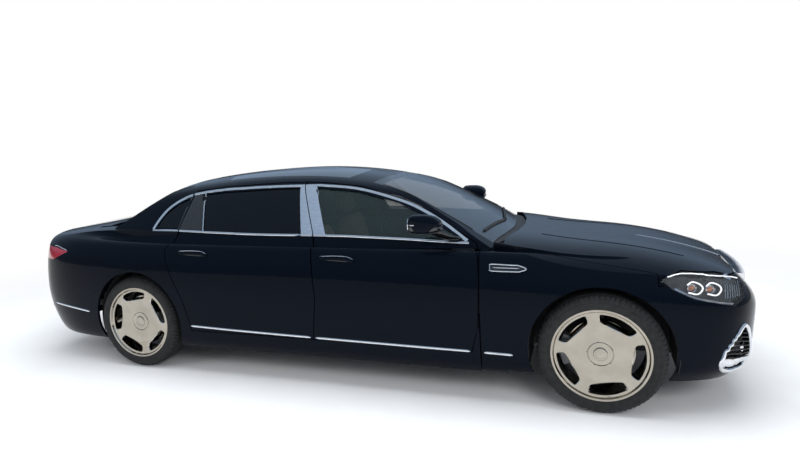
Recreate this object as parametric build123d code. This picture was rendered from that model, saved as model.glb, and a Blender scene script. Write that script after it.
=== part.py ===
from build123d import *
import math
import os

# Luxury saloon with a long wheelbase, built as separate named pieces.
# Frame: millimetres, +X forward, +Y left, +Z up, origin on the ground under the middle of the car.

# ---- driving dimensions -------------------------------------------------------------------
LENGTH = 5469.0
WIDTH = 1921.0
HEIGHT = 1510.0
MIRROR_WIDTH = 2109.0     # across both mirrors
WHEELBASE = 3396.0
FRONT_OVERHANG = 881.0
SILL_Z = 195.0            # underside of the body sides
TYRE_RADIUS = 368.5
TYRE_WIDTH = 255.0
TRACK = 1640.0
RIM_RADIUS = 282.0        # rim flange
RIM_SEAT = 268.0          # tyre seat on the rim
RIM_WALL = 9.0
HUB_BORE = 20.0
RUN_CLEARANCE = 0.05      # radial running fit of a wheel on its spindle
DISC_RADIUS = 195.0
DISC_THICKNESS = 34.0
SPOKE_COUNT = 5
ARCH_RADIUS = 415.0

PANEL = 24.0              # bumpers, hood, lid and fenders
SIDE_WALL = 72.0          # body side frames
ROOF_WALL = 42.0
FLANGE = 26.0             # outer flange of a door
FRAME = 16.0              # window frame of a door
DOOR_DEPTH = 118.0        # whole door, skin to trim
GLASS = 5.0
GLASS_INSET = 7.0
SHUT_GAP = 6.0            # between a moving panel and its neighbour
FIT_GAP = 0.4             # between two fixed pieces that seat on each other
LEDGE = 30.0              # body ledge behind a door flange
LEDGE_DEPTH = 36.0

FLOOR_Z = 232.0
FLOOR_THICKNESS = 30.0
SEAT_PAN_Z = 440.0
BELT_DROP = 12.0          # top of a door's inner box under the belt line

FRONT_AXLE_X = LENGTH / 2 - FRONT_OVERHANG
REAR_AXLE_X = FRONT_AXLE_X - WHEELBASE
WHEEL_Z = TYRE_RADIUS
WHEEL_Y = TRACK / 2
HALF = LENGTH / 2

NOSE_POWER = 5.3          # plan outline is a superellipse, squarer at the tail
TAIL_POWER = 6.4
PLAN_ANGLES = (0, 2.5, 12, 28, 46, 66, 90)


# ---- outer surfaces -----------------------------------------------------------------------
def blend(x, stops):
    """Eased value at x between (place, value) stops."""
    if x <= stops[0][0]:
        return stops[0][1]
    for (a, p), (b, q) in zip(stops, stops[1:]):
        if x <= b:
            t = (x - a) / (b - a)
            return p + (q - p) * (t + t * t * (3 - 2 * t)) / 2
    return stops[-1][1]


def shared_knots(points):
    """Spline parameters from the spacing of one line's points, used for its whole family."""
    steps = [math.dist(p, q) for p, q in zip(points, points[1:])]
    total = sum(steps)
    knots = [0.0]
    for step in steps:
        knots.append(knots[-1] + step / total)
    knots[-1] = 1.0
    return knots


def curve(points, knots, ends=None):
    """Spline through points at given parameters, so that lofted families stay light."""
    tangents = [Vector(t) for t in ends] if ends else None
    return Edge.make_spline([Vector(p) for p in points], tangents=tangents, parameters=knots)


# Lines that run round the body: half width, inset at nose and tail, height at tail, middle and nose
FEATURE_LINES = (
    (885, 110, 110, 195, 195, 195),
    (925, 45, 70, 275, 270, 270),
    (950, 10, 12, 450, 450, 440),
    (960.5, 0, 0, 690, 660, 620),
    (950, 28, 14, 860, 815, 700),
    (926, 85, 30, 955, 925, 765),
    (893, 165, 60, 1010, 985, 830),
    (790, 480, 240, 1150, 1150, 1150),
)


def plan_points(width, nose, tail):
    """Left half of a plan outline, from the nose to the tail."""
    pts = []
    for a in PLAN_ANGLES:
        c, s = max(0.0, math.cos(math.radians(a))), math.sin(math.radians(a))
        pts.append((nose * c ** (2 / NOSE_POWER), width * s ** (2 / NOSE_POWER)))
    for a in reversed(PLAN_ANGLES[:-1]):
        c, s = max(0.0, math.cos(math.radians(a))), math.sin(math.radians(a))
        pts.append((-tail * c ** (2 / TAIL_POWER), width * s ** (2 / TAIL_POWER)))
    return pts


PLAN_KNOTS = shared_knots(plan_points(WIDTH / 2, HALF, HALF))
PLAN_KNOTS_BACK = [1 - k for k in reversed(PLAN_KNOTS)]


def feature_loop(line, inset):
    """Closed line round the body at one level, moved inwards by inset."""
    width, nose_in, tail_in, z_tail, z_mid, z_nose = line
    width -= inset
    nose = HALF - nose_in - inset
    tail = HALF - tail_in - inset
    pts = plan_points(width, nose, tail)
    left = []
    for x, y in pts:
        if x >= 0:
            z = blend(x, ((700, z_mid), (1500, z_mid + (z_nose - z_mid) * 0.22),
                          (2250, z_mid + (z_nose - z_mid) * 0.6), (2734, z_nose)))
        else:
            z = blend(-x, ((900, z_mid), (2500, z_tail)))
        left.append((x, y, z))
    right = [(x, -y, z) for x, y, z in reversed(left)]
    return Wire([curve(left, PLAN_KNOTS, ((0, 1, 0), (0, -1, 0))),
                 curve(right, PLAN_KNOTS_BACK, ((0, -1, 0), (0, 1, 0)))])


HOOD_LINE = ((2760, 640), (2700, 735), (2640, 790), (2515, 846), (2331, 900), (2046, 955),
             (1642, 995), (1300, 1035))
BELT_LINE = ((1100, 1040), (300, 1067), (-700, 1090), (-1500, 1104))
DECK_LINE = ((-1900, 1116), (-2200, 1100), (-2450, 1072), (-2640, 1046))
TOP_KNOTS = shared_knots(HOOD_LINE + BELT_LINE + DECK_LINE)
HOOD_KNOTS = shared_knots(HOOD_LINE)
DECK_KNOTS = shared_knots(DECK_LINE)
CROWN_DROP = 130.0        # fall of the hood from the middle to the side


def crown_share(x):
    """How much of the crown drop the top surface has at x: little beside the cabin."""
    if x > 0:
        return blend(x, ((900, 0.22), (2000, 1.0)))
    return blend(-x, ((1400, 0.22), (2300, 0.8)))


def top_section(y, inset, cabin_open):
    drop = CROWN_DROP * (abs(y) / 930.0) ** 5
    line = HOOD_LINE + BELT_LINE + DECK_LINE
    pts = [(x, y, z - drop * crown_share(x) - inset) for x, z in line]
    if cabin_open:
        split = len(HOOD_LINE) - 1
        hood, deck = pts[:split + 1], pts[split + 1 + len(BELT_LINE):]
        high_front, high_rear = (1120, y, 1400), (-1880, y, 1400)
        edges = [curve(hood, HOOD_KNOTS), Line(hood[-1], high_front), Line(high_front, high_rear),
                 Line(high_rear, deck[0]), curve(deck, DECK_KNOTS)]
    else:
        edges = [curve(pts, TOP_KNOTS)]
    a, b = pts[0], pts[-1]
    low = [b, (-2900, y, b[2] - 160), (-2900, y, -100), (a[0] + 60, y, -100), a]
    edges += [Line(p, q) for p, q in zip(low, low[1:])]
    return Wire(edges)


TOP_PLACES = (-1000, -850, -560, 0, 560, 850, 1000)


def lower_body(inset, cabin_open=False):
    """Body below the belt line, its surface moved inwards by inset."""
    lines = FEATURE_LINES
    if inset > 0:
        lines = (lines[0][:3] + (-SILL_Z,) * 3,) + lines
    hull = Solid.make_loft([feature_loop(line, inset) for line in lines])
    lid = Solid.make_loft([top_section(y, inset, cabin_open) for y in TOP_PLACES])
    return hull & lid


# Half section of the cabin above the belt, from the belt to the roof's middle
CABIN_SECTION = ((860, 950), (815, 1060), (745, 1200), (690, 1300), (645, 1370), (612, 1408),
                 (565, 1441), (460, 1474), (250, 1501), (0, 1510))
CABIN_PLACES = (-2100, -1700, -1250, -800, -350, 0, 400, 800, 1300)
WINDSHIELD_LINE = ((1345, 980), (1265, 1030), (943, 1205), (731, 1310), (549, 1385), (400, 1430), (250, 1465))
REAR_WINDOW_LINE = ((-1000, 1495), (-1200, 1458), (-1400, 1395), (-1600, 1305), (-1800, 1200), (-1990, 1100))


CABIN_KNOTS = shared_knots(CABIN_SECTION)
CABIN_KNOTS_BACK = [1 - k for k in reversed(CABIN_KNOTS)]
FRONT_KNOTS = shared_knots(WINDSHIELD_LINE)
REAR_KNOTS = shared_knots(REAR_WINDOW_LINE)


def roof_z(x):
    return HEIGHT - (85 * ((x + 350) / 800) ** 2 if x > -350 else 60 * ((x + 350) / 900) ** 2)


def cabin_section(x, inset):
    share = 1 - (0.06 if x > -200 else 0.05) * ((x + 200) / 1450) ** 2
    pts = []
    for y, z in CABIN_SECTION:
        lift = max(0.0, (z - 1060) / 450)
        down = inset * min(1.0, max(0.0, (z - 1200) / 250))
        pts.append((x, y * share - inset if y > 300 else y * share,
                    z + (roof_z(x) - HEIGHT) * lift - down))
    mirror_pts = [(a, -b, c) for a, b, c in reversed(pts)]
    left = curve(pts, CABIN_KNOTS)
    right = curve(mirror_pts, CABIN_KNOTS_BACK)
    return Wire([left, right, Line(mirror_pts[-1], pts[0])])


def screens_section(y, inset):
    """Side outline of the cabin at one place across it, with the screens' curve."""
    front = [(x - 88 * (y / 700) ** 2 - inset * 0.5, y, z - inset * 0.8) for x, z in WINDSHIELD_LINE]
    rear = [(x + 120 * (y / 700) ** 2 + inset * 0.45, y, z - inset * 0.85) for x, z in REAR_WINDOW_LINE]
    front_top = (front[-1][0] - 60, y, 1700)
    rear_top = (rear[0][0] + 60, y, 1700)
    edges = [curve(front, FRONT_KNOTS), Line(front[-1], front_top), Line(front_top, rear_top),
             Line(rear_top, rear[0]), curve(rear, REAR_KNOTS)]
    low = [rear[-1], (rear[-1][0], y, 800), (front[0][0], y, 800), front[0]]
    edges += [Line(p, q) for p, q in zip(low, low[1:])]
    return Wire(edges)


def upper_body(inset):
    """Cabin above the belt line, its surface moved inwards by inset."""
    sides = Solid.make_loft([cabin_section(x, inset) for x in CABIN_PLACES])
    screens = Solid.make_loft([screens_section(y, inset) for y in (-950, -650, -350, 0, 350, 650, 950)])
    return sides & screens


# ---- helpers --------------------------------------------------------------------------------
def block(x0, x1, y0, y1, z0, z1):
    return Solid.make_box(x1 - x0, y1 - y0, z1 - z0, Plane((x0, y0, z0)))


def side_face(points):
    """Face in the side view from (x, z) corners."""
    return Face(Wire.make_polygon([(x, 0, z) for x, z in points], close=True))


def side_prism(face, y0, y1):
    return Solid.extrude(face.moved(Location((0, y0, 0))), Vector(0, y1 - y0, 0))


def top_prism(points, z0, z1):
    face = Face(Wire.make_polygon([(x, y, z0) for x, y in points], close=True))
    return Solid.extrude(face, Vector(0, 0, z1 - z0))


def rear_prism(points, x0, x1):
    face = Face(Wire.make_polygon([(x0, y, z) for y, z in points], close=True))
    return Solid.extrude(face, Vector(x1 - x0, 0, 0))


def grow(points, amount):
    """Corners of a closed outline moved out by amount, or in where it is negative."""
    turn = sum(a[0] * b[1] - b[0] * a[1] for a, b in zip(points, points[1:] + points[:1]))
    sign = 1 if turn > 0 else -1
    moved = []
    for before, here, after in zip(points[-1:] + points[:-1], points, points[1:] + points[:1]):
        lines = []
        for p, q in ((before, here), (here, after)):
            length = math.dist(p, q)
            nx, nz = sign * (q[1] - p[1]) / length, -sign * (q[0] - p[0]) / length
            lines.append((nx, nz, nx * p[0] + nz * p[1] + amount))
        (a, b, c), (d, e, f) = lines
        det = a * e - b * d
        moved.append(((c * e - b * f) / det, (a * f - c * d) / det))
    return tuple(moved)


def mirrored(shape):
    return shape.mirror(Plane.XZ)


def main_solid(shape):
    """The largest solid of a cut, without the loose chips beside it."""
    return max(shape.solids(), key=lambda s: s.volume)


def rounded_side(points, radius):
    face = side_face(points)
    return face.fillet_2d(radius, face.vertices())


PARTS = {}


def keep(name, shape):
    PARTS[name] = shape


def near(solid, piece, margin=40.0):
    """The part of a large solid round a piece, so that a cut has little to work on."""
    box = piece.bounding_box()
    return solid & block(box.min.X - margin, box.max.X + margin, box.min.Y - margin, box.max.Y + margin,
                         box.min.Z - margin, box.max.Z + margin)


def skin(outer, inner, region):
    """Wall between two surfaces inside a region."""
    piece = outer & region
    return main_solid(piece - near(inner, piece))


# ---- left halves of the surfaces ----------------------------------------------------------
LEFT_HALF = block(-3000, 3000, 0, 1500, -600, 2000)
low = {0: lower_body(0) & LEFT_HALF}
for inset in (PANEL, FLANGE, SIDE_WALL):
    low[inset] = lower_body(inset, cabin_open=True) & LEFT_HALF
low["ledge"] = lower_body(LEDGE_DEPTH) & LEFT_HALF
low["door"] = lower_body(DOOR_DEPTH, cabin_open=True) & LEFT_HALF
low["box"] = lower_body(FLANGE - 6, cabin_open=True) & LEFT_HALF
high = {inset: upper_body(inset) & LEFT_HALF for inset in (0, FRAME, LEDGE_DEPTH, ROOF_WALL)}
high["glass_out"] = upper_body(GLASS_INSET) & LEFT_HALF
high["glass_in"] = upper_body(GLASS_INSET + GLASS) & LEFT_HALF

# ---- outlines in the side view --------------------------------------------------------------
PILLAR_CUT = ((-150, 1432), (-27, 1075), (-5, 930), (24, 650), (-12, 338))
PILLAR_CUT_FRONT = ((-143, 1432), (-21, 1075), (-2, 930), (24, 650), (-12, 338))
FRONT_DOOR = ((1098, 338), (1143, 510), (1155, 810), (1143, 948), (1122, 1022), (955, 1120),
              (770, 1228), (590, 1306), (283, 1390), (10, 1423)) + PILLAR_CUT_FRONT
REAR_DOOR = ((-1030, 338), (-1045, 420), (-1083, 573), (-1131, 675), (-1183, 780), (-1221, 880),
             (-1238, 955), (-1180, 1080), (-1100, 1386), (-843, 1413), (-370, 1431)) + PILLAR_CUT
FRONT_WINDOW = ((1040, 1037), (930, 1096), (750, 1196), (575, 1272), (275, 1356), (10, 1386),
                (-52, 1390), (70, 1055), (600, 1042))
REAR_WINDOW = ((-187, 1392), (-370, 1392), (-843, 1374), (-1030, 1356), (-975, 1075), (-122, 1060))
QUARTER_WINDOW = ((-1135, 1338), (-1262, 1288), (-1362, 1212), (-1420, 1108), (-1195, 1108))


# Hole for the rear door: its rear edge stands off the frame, which swings back a little as it opens
REAR_DOOR_HOLE = tuple((x - 7, z) if x < -1090 and z > 1050 else (x, z) for x, z in REAR_DOOR)


def belt_z(x):
    return blend(-x, ((-1100, 1034), (-70, 1065), (500, 1083), (1450, 1095)))


# ---- doors ----------------------------------------------------------------------------------
def door_faces(points):
    """Flange outline of a door, half a shut gap inside its cut."""
    return side_face(grow(points, -SHUT_GAP / 2))


def inner_box_face(points):
    """Inner box of a door: set in from the flange and kept under the belt line."""
    face = side_face(grow(points, -(LEDGE + 12)))
    xs = [x for x, z in points]
    cut = side_face([(min(xs) - 50, 200), (max(xs) + 50, 200), (max(xs) + 50, belt_z(max(xs)) - BELT_DROP),
                     (min(xs) - 50, belt_z(min(xs)) - BELT_DROP)])
    return (face & cut).face()


def window_face(points, clearance):
    face = side_face(grow(points, clearance) if clearance else points)
    return face.fillet_2d(14 + clearance, face.vertices())


def make_door(points, window):
    flange = side_prism(door_faces(points), 0, 1200)
    skin_low = skin(low[0], low[FLANGE], flange & block(-3000, 3000, 600, 1200, 300, 1150))
    frame = skin(high[0], high[FRAME], flange & block(-3000, 3000, 400, 1200, 985, 1600))
    frame = frame - side_prism(window_face(window, 0), 300, 1200)
    rear_x = min(x for x, z in points)
    frame = frame - (low["ledge"] & block(rear_x - 5, rear_x + LEDGE + 30, 600, 1200, 900, 1200))
    box_region = side_prism(inner_box_face(points), 600, 1200)
    inner = skin(low["box"], low["door"], box_region)
    return main_solid(skin_low + inner + frame)


def make_window(window):
    pane = side_prism(window_face(window, -FIT_GAP), 300, 1200)
    piece = high["glass_out"] & pane
    return main_solid(piece - near(high["glass_in"], piece))


front_door = make_door(FRONT_DOOR, FRONT_WINDOW)
rear_door = make_door(REAR_DOOR, REAR_WINDOW)
front_glass = make_window(FRONT_WINDOW)
rear_glass = make_window(REAR_WINDOW)


# ---- body side, fender and quarter ----------------------------------------------------------
def y_cylinder(x, z, radius, y0, y1):
    return Solid.make_cylinder(radius, y1 - y0, Plane((x, y0, z), z_dir=(0, 1, 0)))


def x_cylinder(y, z, radius, x0, x1):
    return Solid.make_cylinder(radius, x1 - x0, Plane((x0, y, z), z_dir=(1, 0, 0)))


ARCH_INNER_FRONT = 440.0
ARCH_INNER_REAR = 640.0
front_arch = y_cylinder(FRONT_AXLE_X, WHEEL_Z, ARCH_RADIUS, ARCH_INNER_FRONT, 1100)
rear_arch = y_cylinder(REAR_AXLE_X, WHEEL_Z, ARCH_RADIUS, ARCH_INNER_REAR, 1100)

FENDER_REAR = 1155.0                       # front cut of the front door
BUMPER_CUT_X = 2190.0                      # seam between fender and front bumper
HOOD_REAR_SIDE = 1225.0
HOOD_LOW_Z = 796.0                         # hood's front edge over the grille
HOOD_EDGE = ((1362, 0), (1345, 300), (1300, 560), (HOOD_REAR_SIDE, 757), (1420, 795), (1800, 822),
             (2165, 838), (2190, 1000), (2900, 1000), (2900, 0))
HEADLAMP = ((2180, 828), (2290, 858), (2478, 832), (2610, 796), (2640, 700), (2567, 660), (2477, 682),
            (2356, 712), (2238, 770))
HEADLAMP_INNER_Y = 500.0
LID_HALF = 600.0
LID_LOW_Z = 700.0
LID_FRONT_X = -2012.0
REAR_BUMPER = ((-1860, 100), (-1860, 588), (-2250, 655), (-2460, 842), (-2900, 842), (-2900, 100))
TAIL_LAMP = ((-2255, 925), (-2420, 950), (-2900, 950), (-2900, 846), (-2466, 846))
LAMP_GAP_Y = 300.0                         # inner end of the lid's lamps
ROOF_EDGE = ((395, 0), (380, 300), (345, 490), (-200, 517), (-900, 516), (-1195, 490), (-1235, 300),
             (-1245, 0))
SCREEN_EDGE = ((395, 0), (380, 300), (345, 490), (700, 590), (1130, 690), (1500, 735), (1500, 0))
REAR_SCREEN_EDGE = ((-1245, 0), (-1235, 300), (-1195, 490), (-1500, 570), (-1960, 640), (-2100, 650),
                    (-2100, 0))


def closed_half(points):
    """Outline from the middle line, run a little past it so that halves meet cleanly."""
    return tuple((x, y if y > 0 else -60) for x, y in points)


hood_region = top_prism(closed_half(HOOD_EDGE), HOOD_LOW_Z, 1300)
hood_hole = top_prism(grow(closed_half(HOOD_EDGE), SHUT_GAP), HOOD_LOW_Z - SHUT_GAP - 2, 1300)
lamp_region = side_prism(side_face(HEADLAMP), HEADLAMP_INNER_Y, 1100)
lamp_hole = side_prism(side_face(grow(HEADLAMP, FIT_GAP)), HEADLAMP_INNER_Y - FIT_GAP, 1100)
lid_region = rear_prism(((-60, LID_LOW_Z), (LID_HALF, LID_LOW_Z), (LID_HALF, 1300), (-60, 1300)), -2900,
                        LID_FRONT_X)
lid_hole = rear_prism(((-60, LID_LOW_Z - SHUT_GAP), (LID_HALF + SHUT_GAP, LID_LOW_Z - SHUT_GAP),
                       (LID_HALF + SHUT_GAP, 1300), (-60, 1300)), -2900, LID_FRONT_X + SHUT_GAP)
tail_region = side_prism(side_face(TAIL_LAMP), LAMP_GAP_Y, 1100)
tail_hole = side_prism(side_face(grow(TAIL_LAMP, FIT_GAP)), LAMP_GAP_Y - FIT_GAP, 1100)
bumper_region = side_prism(side_face(REAR_BUMPER), -60, 1100)
roof_hole = top_prism(grow(closed_half(ROOF_EDGE), FIT_GAP), 1250, 1700)
screen_hole = top_prism(grow(closed_half(SCREEN_EDGE), FIT_GAP), 900, 1700)
rear_screen_hole = top_prism(grow(closed_half(REAR_SCREEN_EDGE), FIT_GAP), 900, 1700)


def door_openings(points):
    """Cut for a door: the full outline down to the ledge, a smaller one through the wall."""
    wide = side_prism(side_face(grow(points, SHUT_GAP / 2)), 300, 1200)
    wide = wide - near(low["ledge"], wide) - near(high[LEDGE_DEPTH], wide)
    return wide, side_prism(side_face(grow(points, -LEDGE)), 300, 1200)


def make_body_side():
    """Sill, pillars, roof rail and quarter panel in one frame, open for both doors."""
    wall = skin(low[0], low[SIDE_WALL], block(-2900, FENDER_REAR - 6, 300, 1200, 150, 1200))
    wall = wall - rear_screen_hole - rear_arch - lid_hole - tail_hole
    wall = wall - side_prism(side_face(grow(REAR_BUMPER, FIT_GAP)), -60, 1100)
    hinge_post = skin(low["ledge"], low[SIDE_WALL], block(FENDER_REAR - 6, 1300, 700, 1200, 150, 1200))
    rail = high[0] & block(-2000, 1300, 380, 1200, 980, 1600)
    rail = rail - near(high[ROOF_WALL], rail) - roof_hole - screen_hole - rear_screen_hole - hood_hole
    side = main_solid(wall) + hinge_post + main_solid(rail)
    side = side - side_prism(window_face(QUARTER_WINDOW, 0), 300, 1200)
    for points in (FRONT_DOOR, REAR_DOOR_HOLE):
        for cut in door_openings(points):
            side = side - cut
    return main_solid(side)


body_side = make_body_side()
quarter_pane = high["glass_out"] & side_prism(window_face(QUARTER_WINDOW, -FIT_GAP), 300, 1200)
quarter_glass = main_solid(quarter_pane - near(high["glass_in"], quarter_pane))

fender = low[0] & block(FENDER_REAR + SHUT_GAP / 2, BUMPER_CUT_X, 300, 1200, 215, 1200)
fender = fender - near(low[PANEL], fender) - hood_hole - front_arch - lamp_hole
fender = main_solid(fender)


# ---- hood, lid and bumpers --------------------------------------------------------------------
def both(half):
    """Left half joined to its mirror image across the middle."""
    return (half + mirrored(half)).clean()


hood_lamp_hole = side_prism(side_face(grow(HEADLAMP, SHUT_GAP)), HEADLAMP_INNER_Y - SHUT_GAP, 1100)
hood_half = skin(low[0], low[PANEL], hood_region) - hood_lamp_hole
hood = both(main_solid(hood_half & block(1000, 3000, 0, 1200, 0, 2000)))
lid_half = skin(low[0], low[PANEL], lid_region) - tail_hole
lid = both(main_solid(lid_half & block(-3000, 0, 0, 1200, 0, 2000)))

GRILLE = ((430, 790), (452, 700), (440, 480), (400, 372))     # right edge in the front view, top to foot
MESH_INTAKE = ((548, 258), (650, 250), (730, 262), (768, 312), (766, 372), (742, 450), (692, 535),
               (600, 400))
LOW_INTAKE_HALF = 470.0
bumper_half = low[0] & block(BUMPER_CUT_X + FIT_GAP, 2900, 0, 1200, 195, HOOD_LOW_Z - SHUT_GAP)
bumper_half = bumper_half - near(low[PANEL], bumper_half) - lamp_hole
grille_half = rear_prism(((-60, 790),) + GRILLE + ((-60, 372),), 2300, 2900)
grille_hole = rear_prism(grow(((-60, 790),) + GRILLE + ((-60, 372),), FIT_GAP), 2300, 2900)
bumper_half = bumper_half - grille_hole - rear_prism(MESH_INTAKE, 2300, 2900)
bumper_half = bumper_half - rear_prism(((-60, 240), (LOW_INTAKE_HALF, 240), (LOW_INTAKE_HALF - 30, 330),
                                        (-60, 330)), 2300, 2900)
bumper_half = bumper_half - front_arch
front_bumper = both(main_solid(bumper_half))
rear_half = low[0] & bumper_region & block(-3000, 0, 0, 1200, 195, 1200)
rear_half = main_solid(rear_half - near(low[PANEL], rear_half) - rear_arch - lid_hole - tail_hole)
rear_bumper = both(rear_half)


# ---- grille -------------------------------------------------------------------------------------
SLAT_PITCH = 36.0
SLAT_WIDTH = 7.0
GRILLE_FRAME = 22.0
grille_deep = low[0] & grille_half & block(2560, 2900, 0, 600, 300, 900)
grille_cut = lower_body(70, cabin_open=True) & LEFT_HALF
grille_body = grille_deep - near(grille_cut, grille_deep)
grille_open = rear_prism(grow(((-60, 790),) + GRILLE + ((-60, 372),), -GRILLE_FRAME), 2300, 2900)
frame_half = grille_body - grille_open
slat_front = HALF - 26
slats = []
for i in range(int(GRILLE[-1][0] / SLAT_PITCH) + 1):
    y = i * SLAT_PITCH
    back = 34 * (y / 430) ** 2
    slats.append(block(2600 - back, slat_front - back, max(0.0, y - SLAT_WIDTH / 2), y + SLAT_WIDTH / 2,
                       384, 778))
grille = frame_half + slats
grille = both(main_solid(grille & block(2300, 2900, 0, 600, 300, 900)))

# ---- lamps ----------------------------------------------------------------------------------------
LENS = 4.0
HOUSING_GAP = 18.0
lens_in = lower_body(LENS, cabin_open=True) & LEFT_HALF
housing_out = lower_body(HOUSING_GAP, cabin_open=True) & LEFT_HALF
lamp_piece = low[0] & lamp_region
headlamp_lens = main_solid(lamp_piece - near(lens_in, lamp_piece))
lamp_core = housing_out & lamp_region
headlamp_housing = main_solid(lamp_core - near(grille_cut, lamp_core))
tail_piece = low[0] & tail_region & block(-3000, -2000, LAMP_GAP_Y, 1100, 800, 1000)
tail_lamp_all = tail_piece - near(low[PANEL], tail_piece)
tail_lamp = main_solid(tail_lamp_all & block(-3000, -2000, LID_HALF + SHUT_GAP + FIT_GAP, 1200, 0, 2000))
lid_lamp = main_solid(tail_lamp_all & block(-3000, -2000, 0, LID_HALF - 1, 0, 2000))

# ---- roof and screens -------------------------------------------------------------------------------
SUNROOF_EDGE = ((190, 0), (182, 300), (150, 452), (-300, 462), (-880, 452), (-915, 300), (-925, 0))
roof_all = high[0] & top_prism(closed_half(ROOF_EDGE), 1250, 1700)
roof_half = roof_all - near(high[ROOF_WALL], roof_all)
roof_half = roof_half - top_prism(closed_half(SUNROOF_EDGE), 1300, 1700)
roof = both(main_solid(roof_half))
sun_piece = high[0] & top_prism(grow(closed_half(SUNROOF_EDGE), -FIT_GAP), 1300, 1700)
roof_in = upper_body(8.0) & LEFT_HALF
roof_glass = both(main_solid(sun_piece - near(roof_in, sun_piece)))
screen_low = lower_body(18.0) & LEFT_HALF
screen_in = upper_body(GLASS) & LEFT_HALF
screen_piece = high[0] & top_prism(closed_half(SCREEN_EDGE), 900, 1700)
screen_half = screen_piece - near(screen_in, screen_piece) - screen_low
windshield = both(main_solid(screen_half))
back_piece = high[0] & top_prism(closed_half(REAR_SCREEN_EDGE), 900, 1700)
back_half = back_piece - near(screen_in, back_piece) - screen_low
rear_window = both(main_solid(back_half))

for side, flip in (("left", False), ("right", True)):
    for name, shape in (("door_front", front_door), ("door_rear", rear_door),
                        ("window_front", front_glass), ("window_rear", rear_glass),
                        ("body_side", body_side), ("fender", fender)):
        keep(f"{name}_{side}", mirrored(shape) if flip else shape)


def pair(shape):
    return Compound(children=[shape, mirrored(shape)])


keep("quarter_windows", pair(quarter_glass))
keep("hood", hood)
keep("trunk_lid", lid)
keep("front_bumper", front_bumper)
keep("rear_bumper", rear_bumper)
keep("grille", grille)
keep("headlamp_lenses", pair(headlamp_lens))
keep("headlamp_housings", pair(headlamp_housing))
keep("tail_lamps", pair(tail_lamp))
keep("lid_lamps", pair(lid_lamp))
keep("roof", roof)
keep("roof_glass", roof_glass)
keep("windshield", windshield)
keep("rear_window", rear_window)


# ---- wheels and tyres ---------------------------------------------------------------------------
RIM_HALF = 121.0                           # half width over the rim flanges
RIM_FLANGE = 6.0
DISH_OUT = 96.0                            # outboard reach of the spoke face at the rim
FACE_THICKNESS = 26.0
HUB_RADIUS = 74.0
BOSS_IN = 66.0                             # inboard end of the hub boss
DISC_Y = 4.0                               # brake disc, from the wheel's middle
SPINDLE_END = 60.0
KINGPIN_IN = 51.0                          # steering axis inboard of the wheel's middle
CALIPER_GAP = 5.0


def ring(profile):
    """Solid turned about the Y axis from (radius, y) corners."""
    face = Face(Wire.make_polygon([(r, y, 0) for r, y in profile], close=True))
    return Solid.revolve(face, 360, Axis((0, 0, 0), (0, 1, 0)))


def slot_face(radius_out, radius_in, half_angle):
    """Window between two spokes: an arc outside and a straight chord inside, rounded corners."""
    a = math.radians(half_angle)
    left = (-radius_out * math.sin(a), radius_out * math.cos(a))
    right = (-left[0], left[1])
    low_left = (left[0] * 0.80, radius_in)
    low_right = (-low_left[0], radius_in)
    wire = Wire([ThreePointArc((left[0], 0, left[1]), (0, 0, radius_out), (right[0], 0, right[1])),
                 Line((right[0], 0, right[1]), (low_right[0], 0, low_right[1])),
                 Line((low_right[0], 0, low_right[1]), (low_left[0], 0, low_left[1])),
                 Line((low_left[0], 0, low_left[1]), (left[0], 0, left[1]))])
    face = Face(wire)
    return face.fillet_2d(12, face.vertices())


SLOT_OUT = 0.885 * RIM_RADIUS
SLOT_IN = 0.60 * RIM_RADIUS
SLOT_HALF_ANGLE = 27.0


def make_rim(first_slot):
    """Wheel, hub and brake disc about the origin, outboard side towards +Y."""
    barrel = ring([(RIM_RADIUS, RIM_HALF), (RIM_SEAT, RIM_HALF - RIM_FLANGE), (RIM_SEAT, -RIM_HALF + RIM_FLANGE),
                   (RIM_RADIUS, -RIM_HALF), (RIM_SEAT - RIM_WALL, -RIM_HALF), (RIM_SEAT - RIM_WALL, RIM_HALF - 20),
                   (RIM_RADIUS - 12, RIM_HALF)])
    bend = SLOT_IN - 9
    face = ring([(RIM_SEAT - RIM_WALL + 2, DISH_OUT + 10), (bend, DISH_OUT - 8), (96, DISH_OUT - 22),
                 (HUB_RADIUS + 2, DISH_OUT - 12), (0, DISH_OUT - 12), (0, BOSS_IN), (HUB_RADIUS, BOSS_IN),
                 (HUB_RADIUS, DISH_OUT - 50), (bend, DISH_OUT - 8 - FACE_THICKNESS),
                 (RIM_SEAT - RIM_WALL + 2, DISH_OUT + 8 - FACE_THICKNESS)])
    slot = slot_face(SLOT_OUT, SLOT_IN, SLOT_HALF_ANGLE)
    tool = Solid.extrude(slot, Vector(0, 400, 0))
    slots = [tool.rotate(Axis((0, 0, 0), (0, 1, 0)), first_slot + 360 / SPOKE_COUNT * i)
             for i in range(SPOKE_COUNT)]
    face = face - slots
    disc = ring([(HUB_BORE + RUN_CLEARANCE, BOSS_IN + 2), (HUB_RADIUS, BOSS_IN + 2), (HUB_RADIUS, DISC_Y + DISC_THICKNESS / 2),
                 (DISC_RADIUS, DISC_Y + DISC_THICKNESS / 2), (DISC_RADIUS, DISC_Y - DISC_THICKNESS / 2),
                 (HUB_BORE + RUN_CLEARANCE, DISC_Y - DISC_THICKNESS / 2)])
    rim = barrel + face + disc
    bore = y_cylinder(0, 0, HUB_BORE + RUN_CLEARANCE, -200, SPINDLE_END + 2)
    return main_solid(rim - bore)


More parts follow.
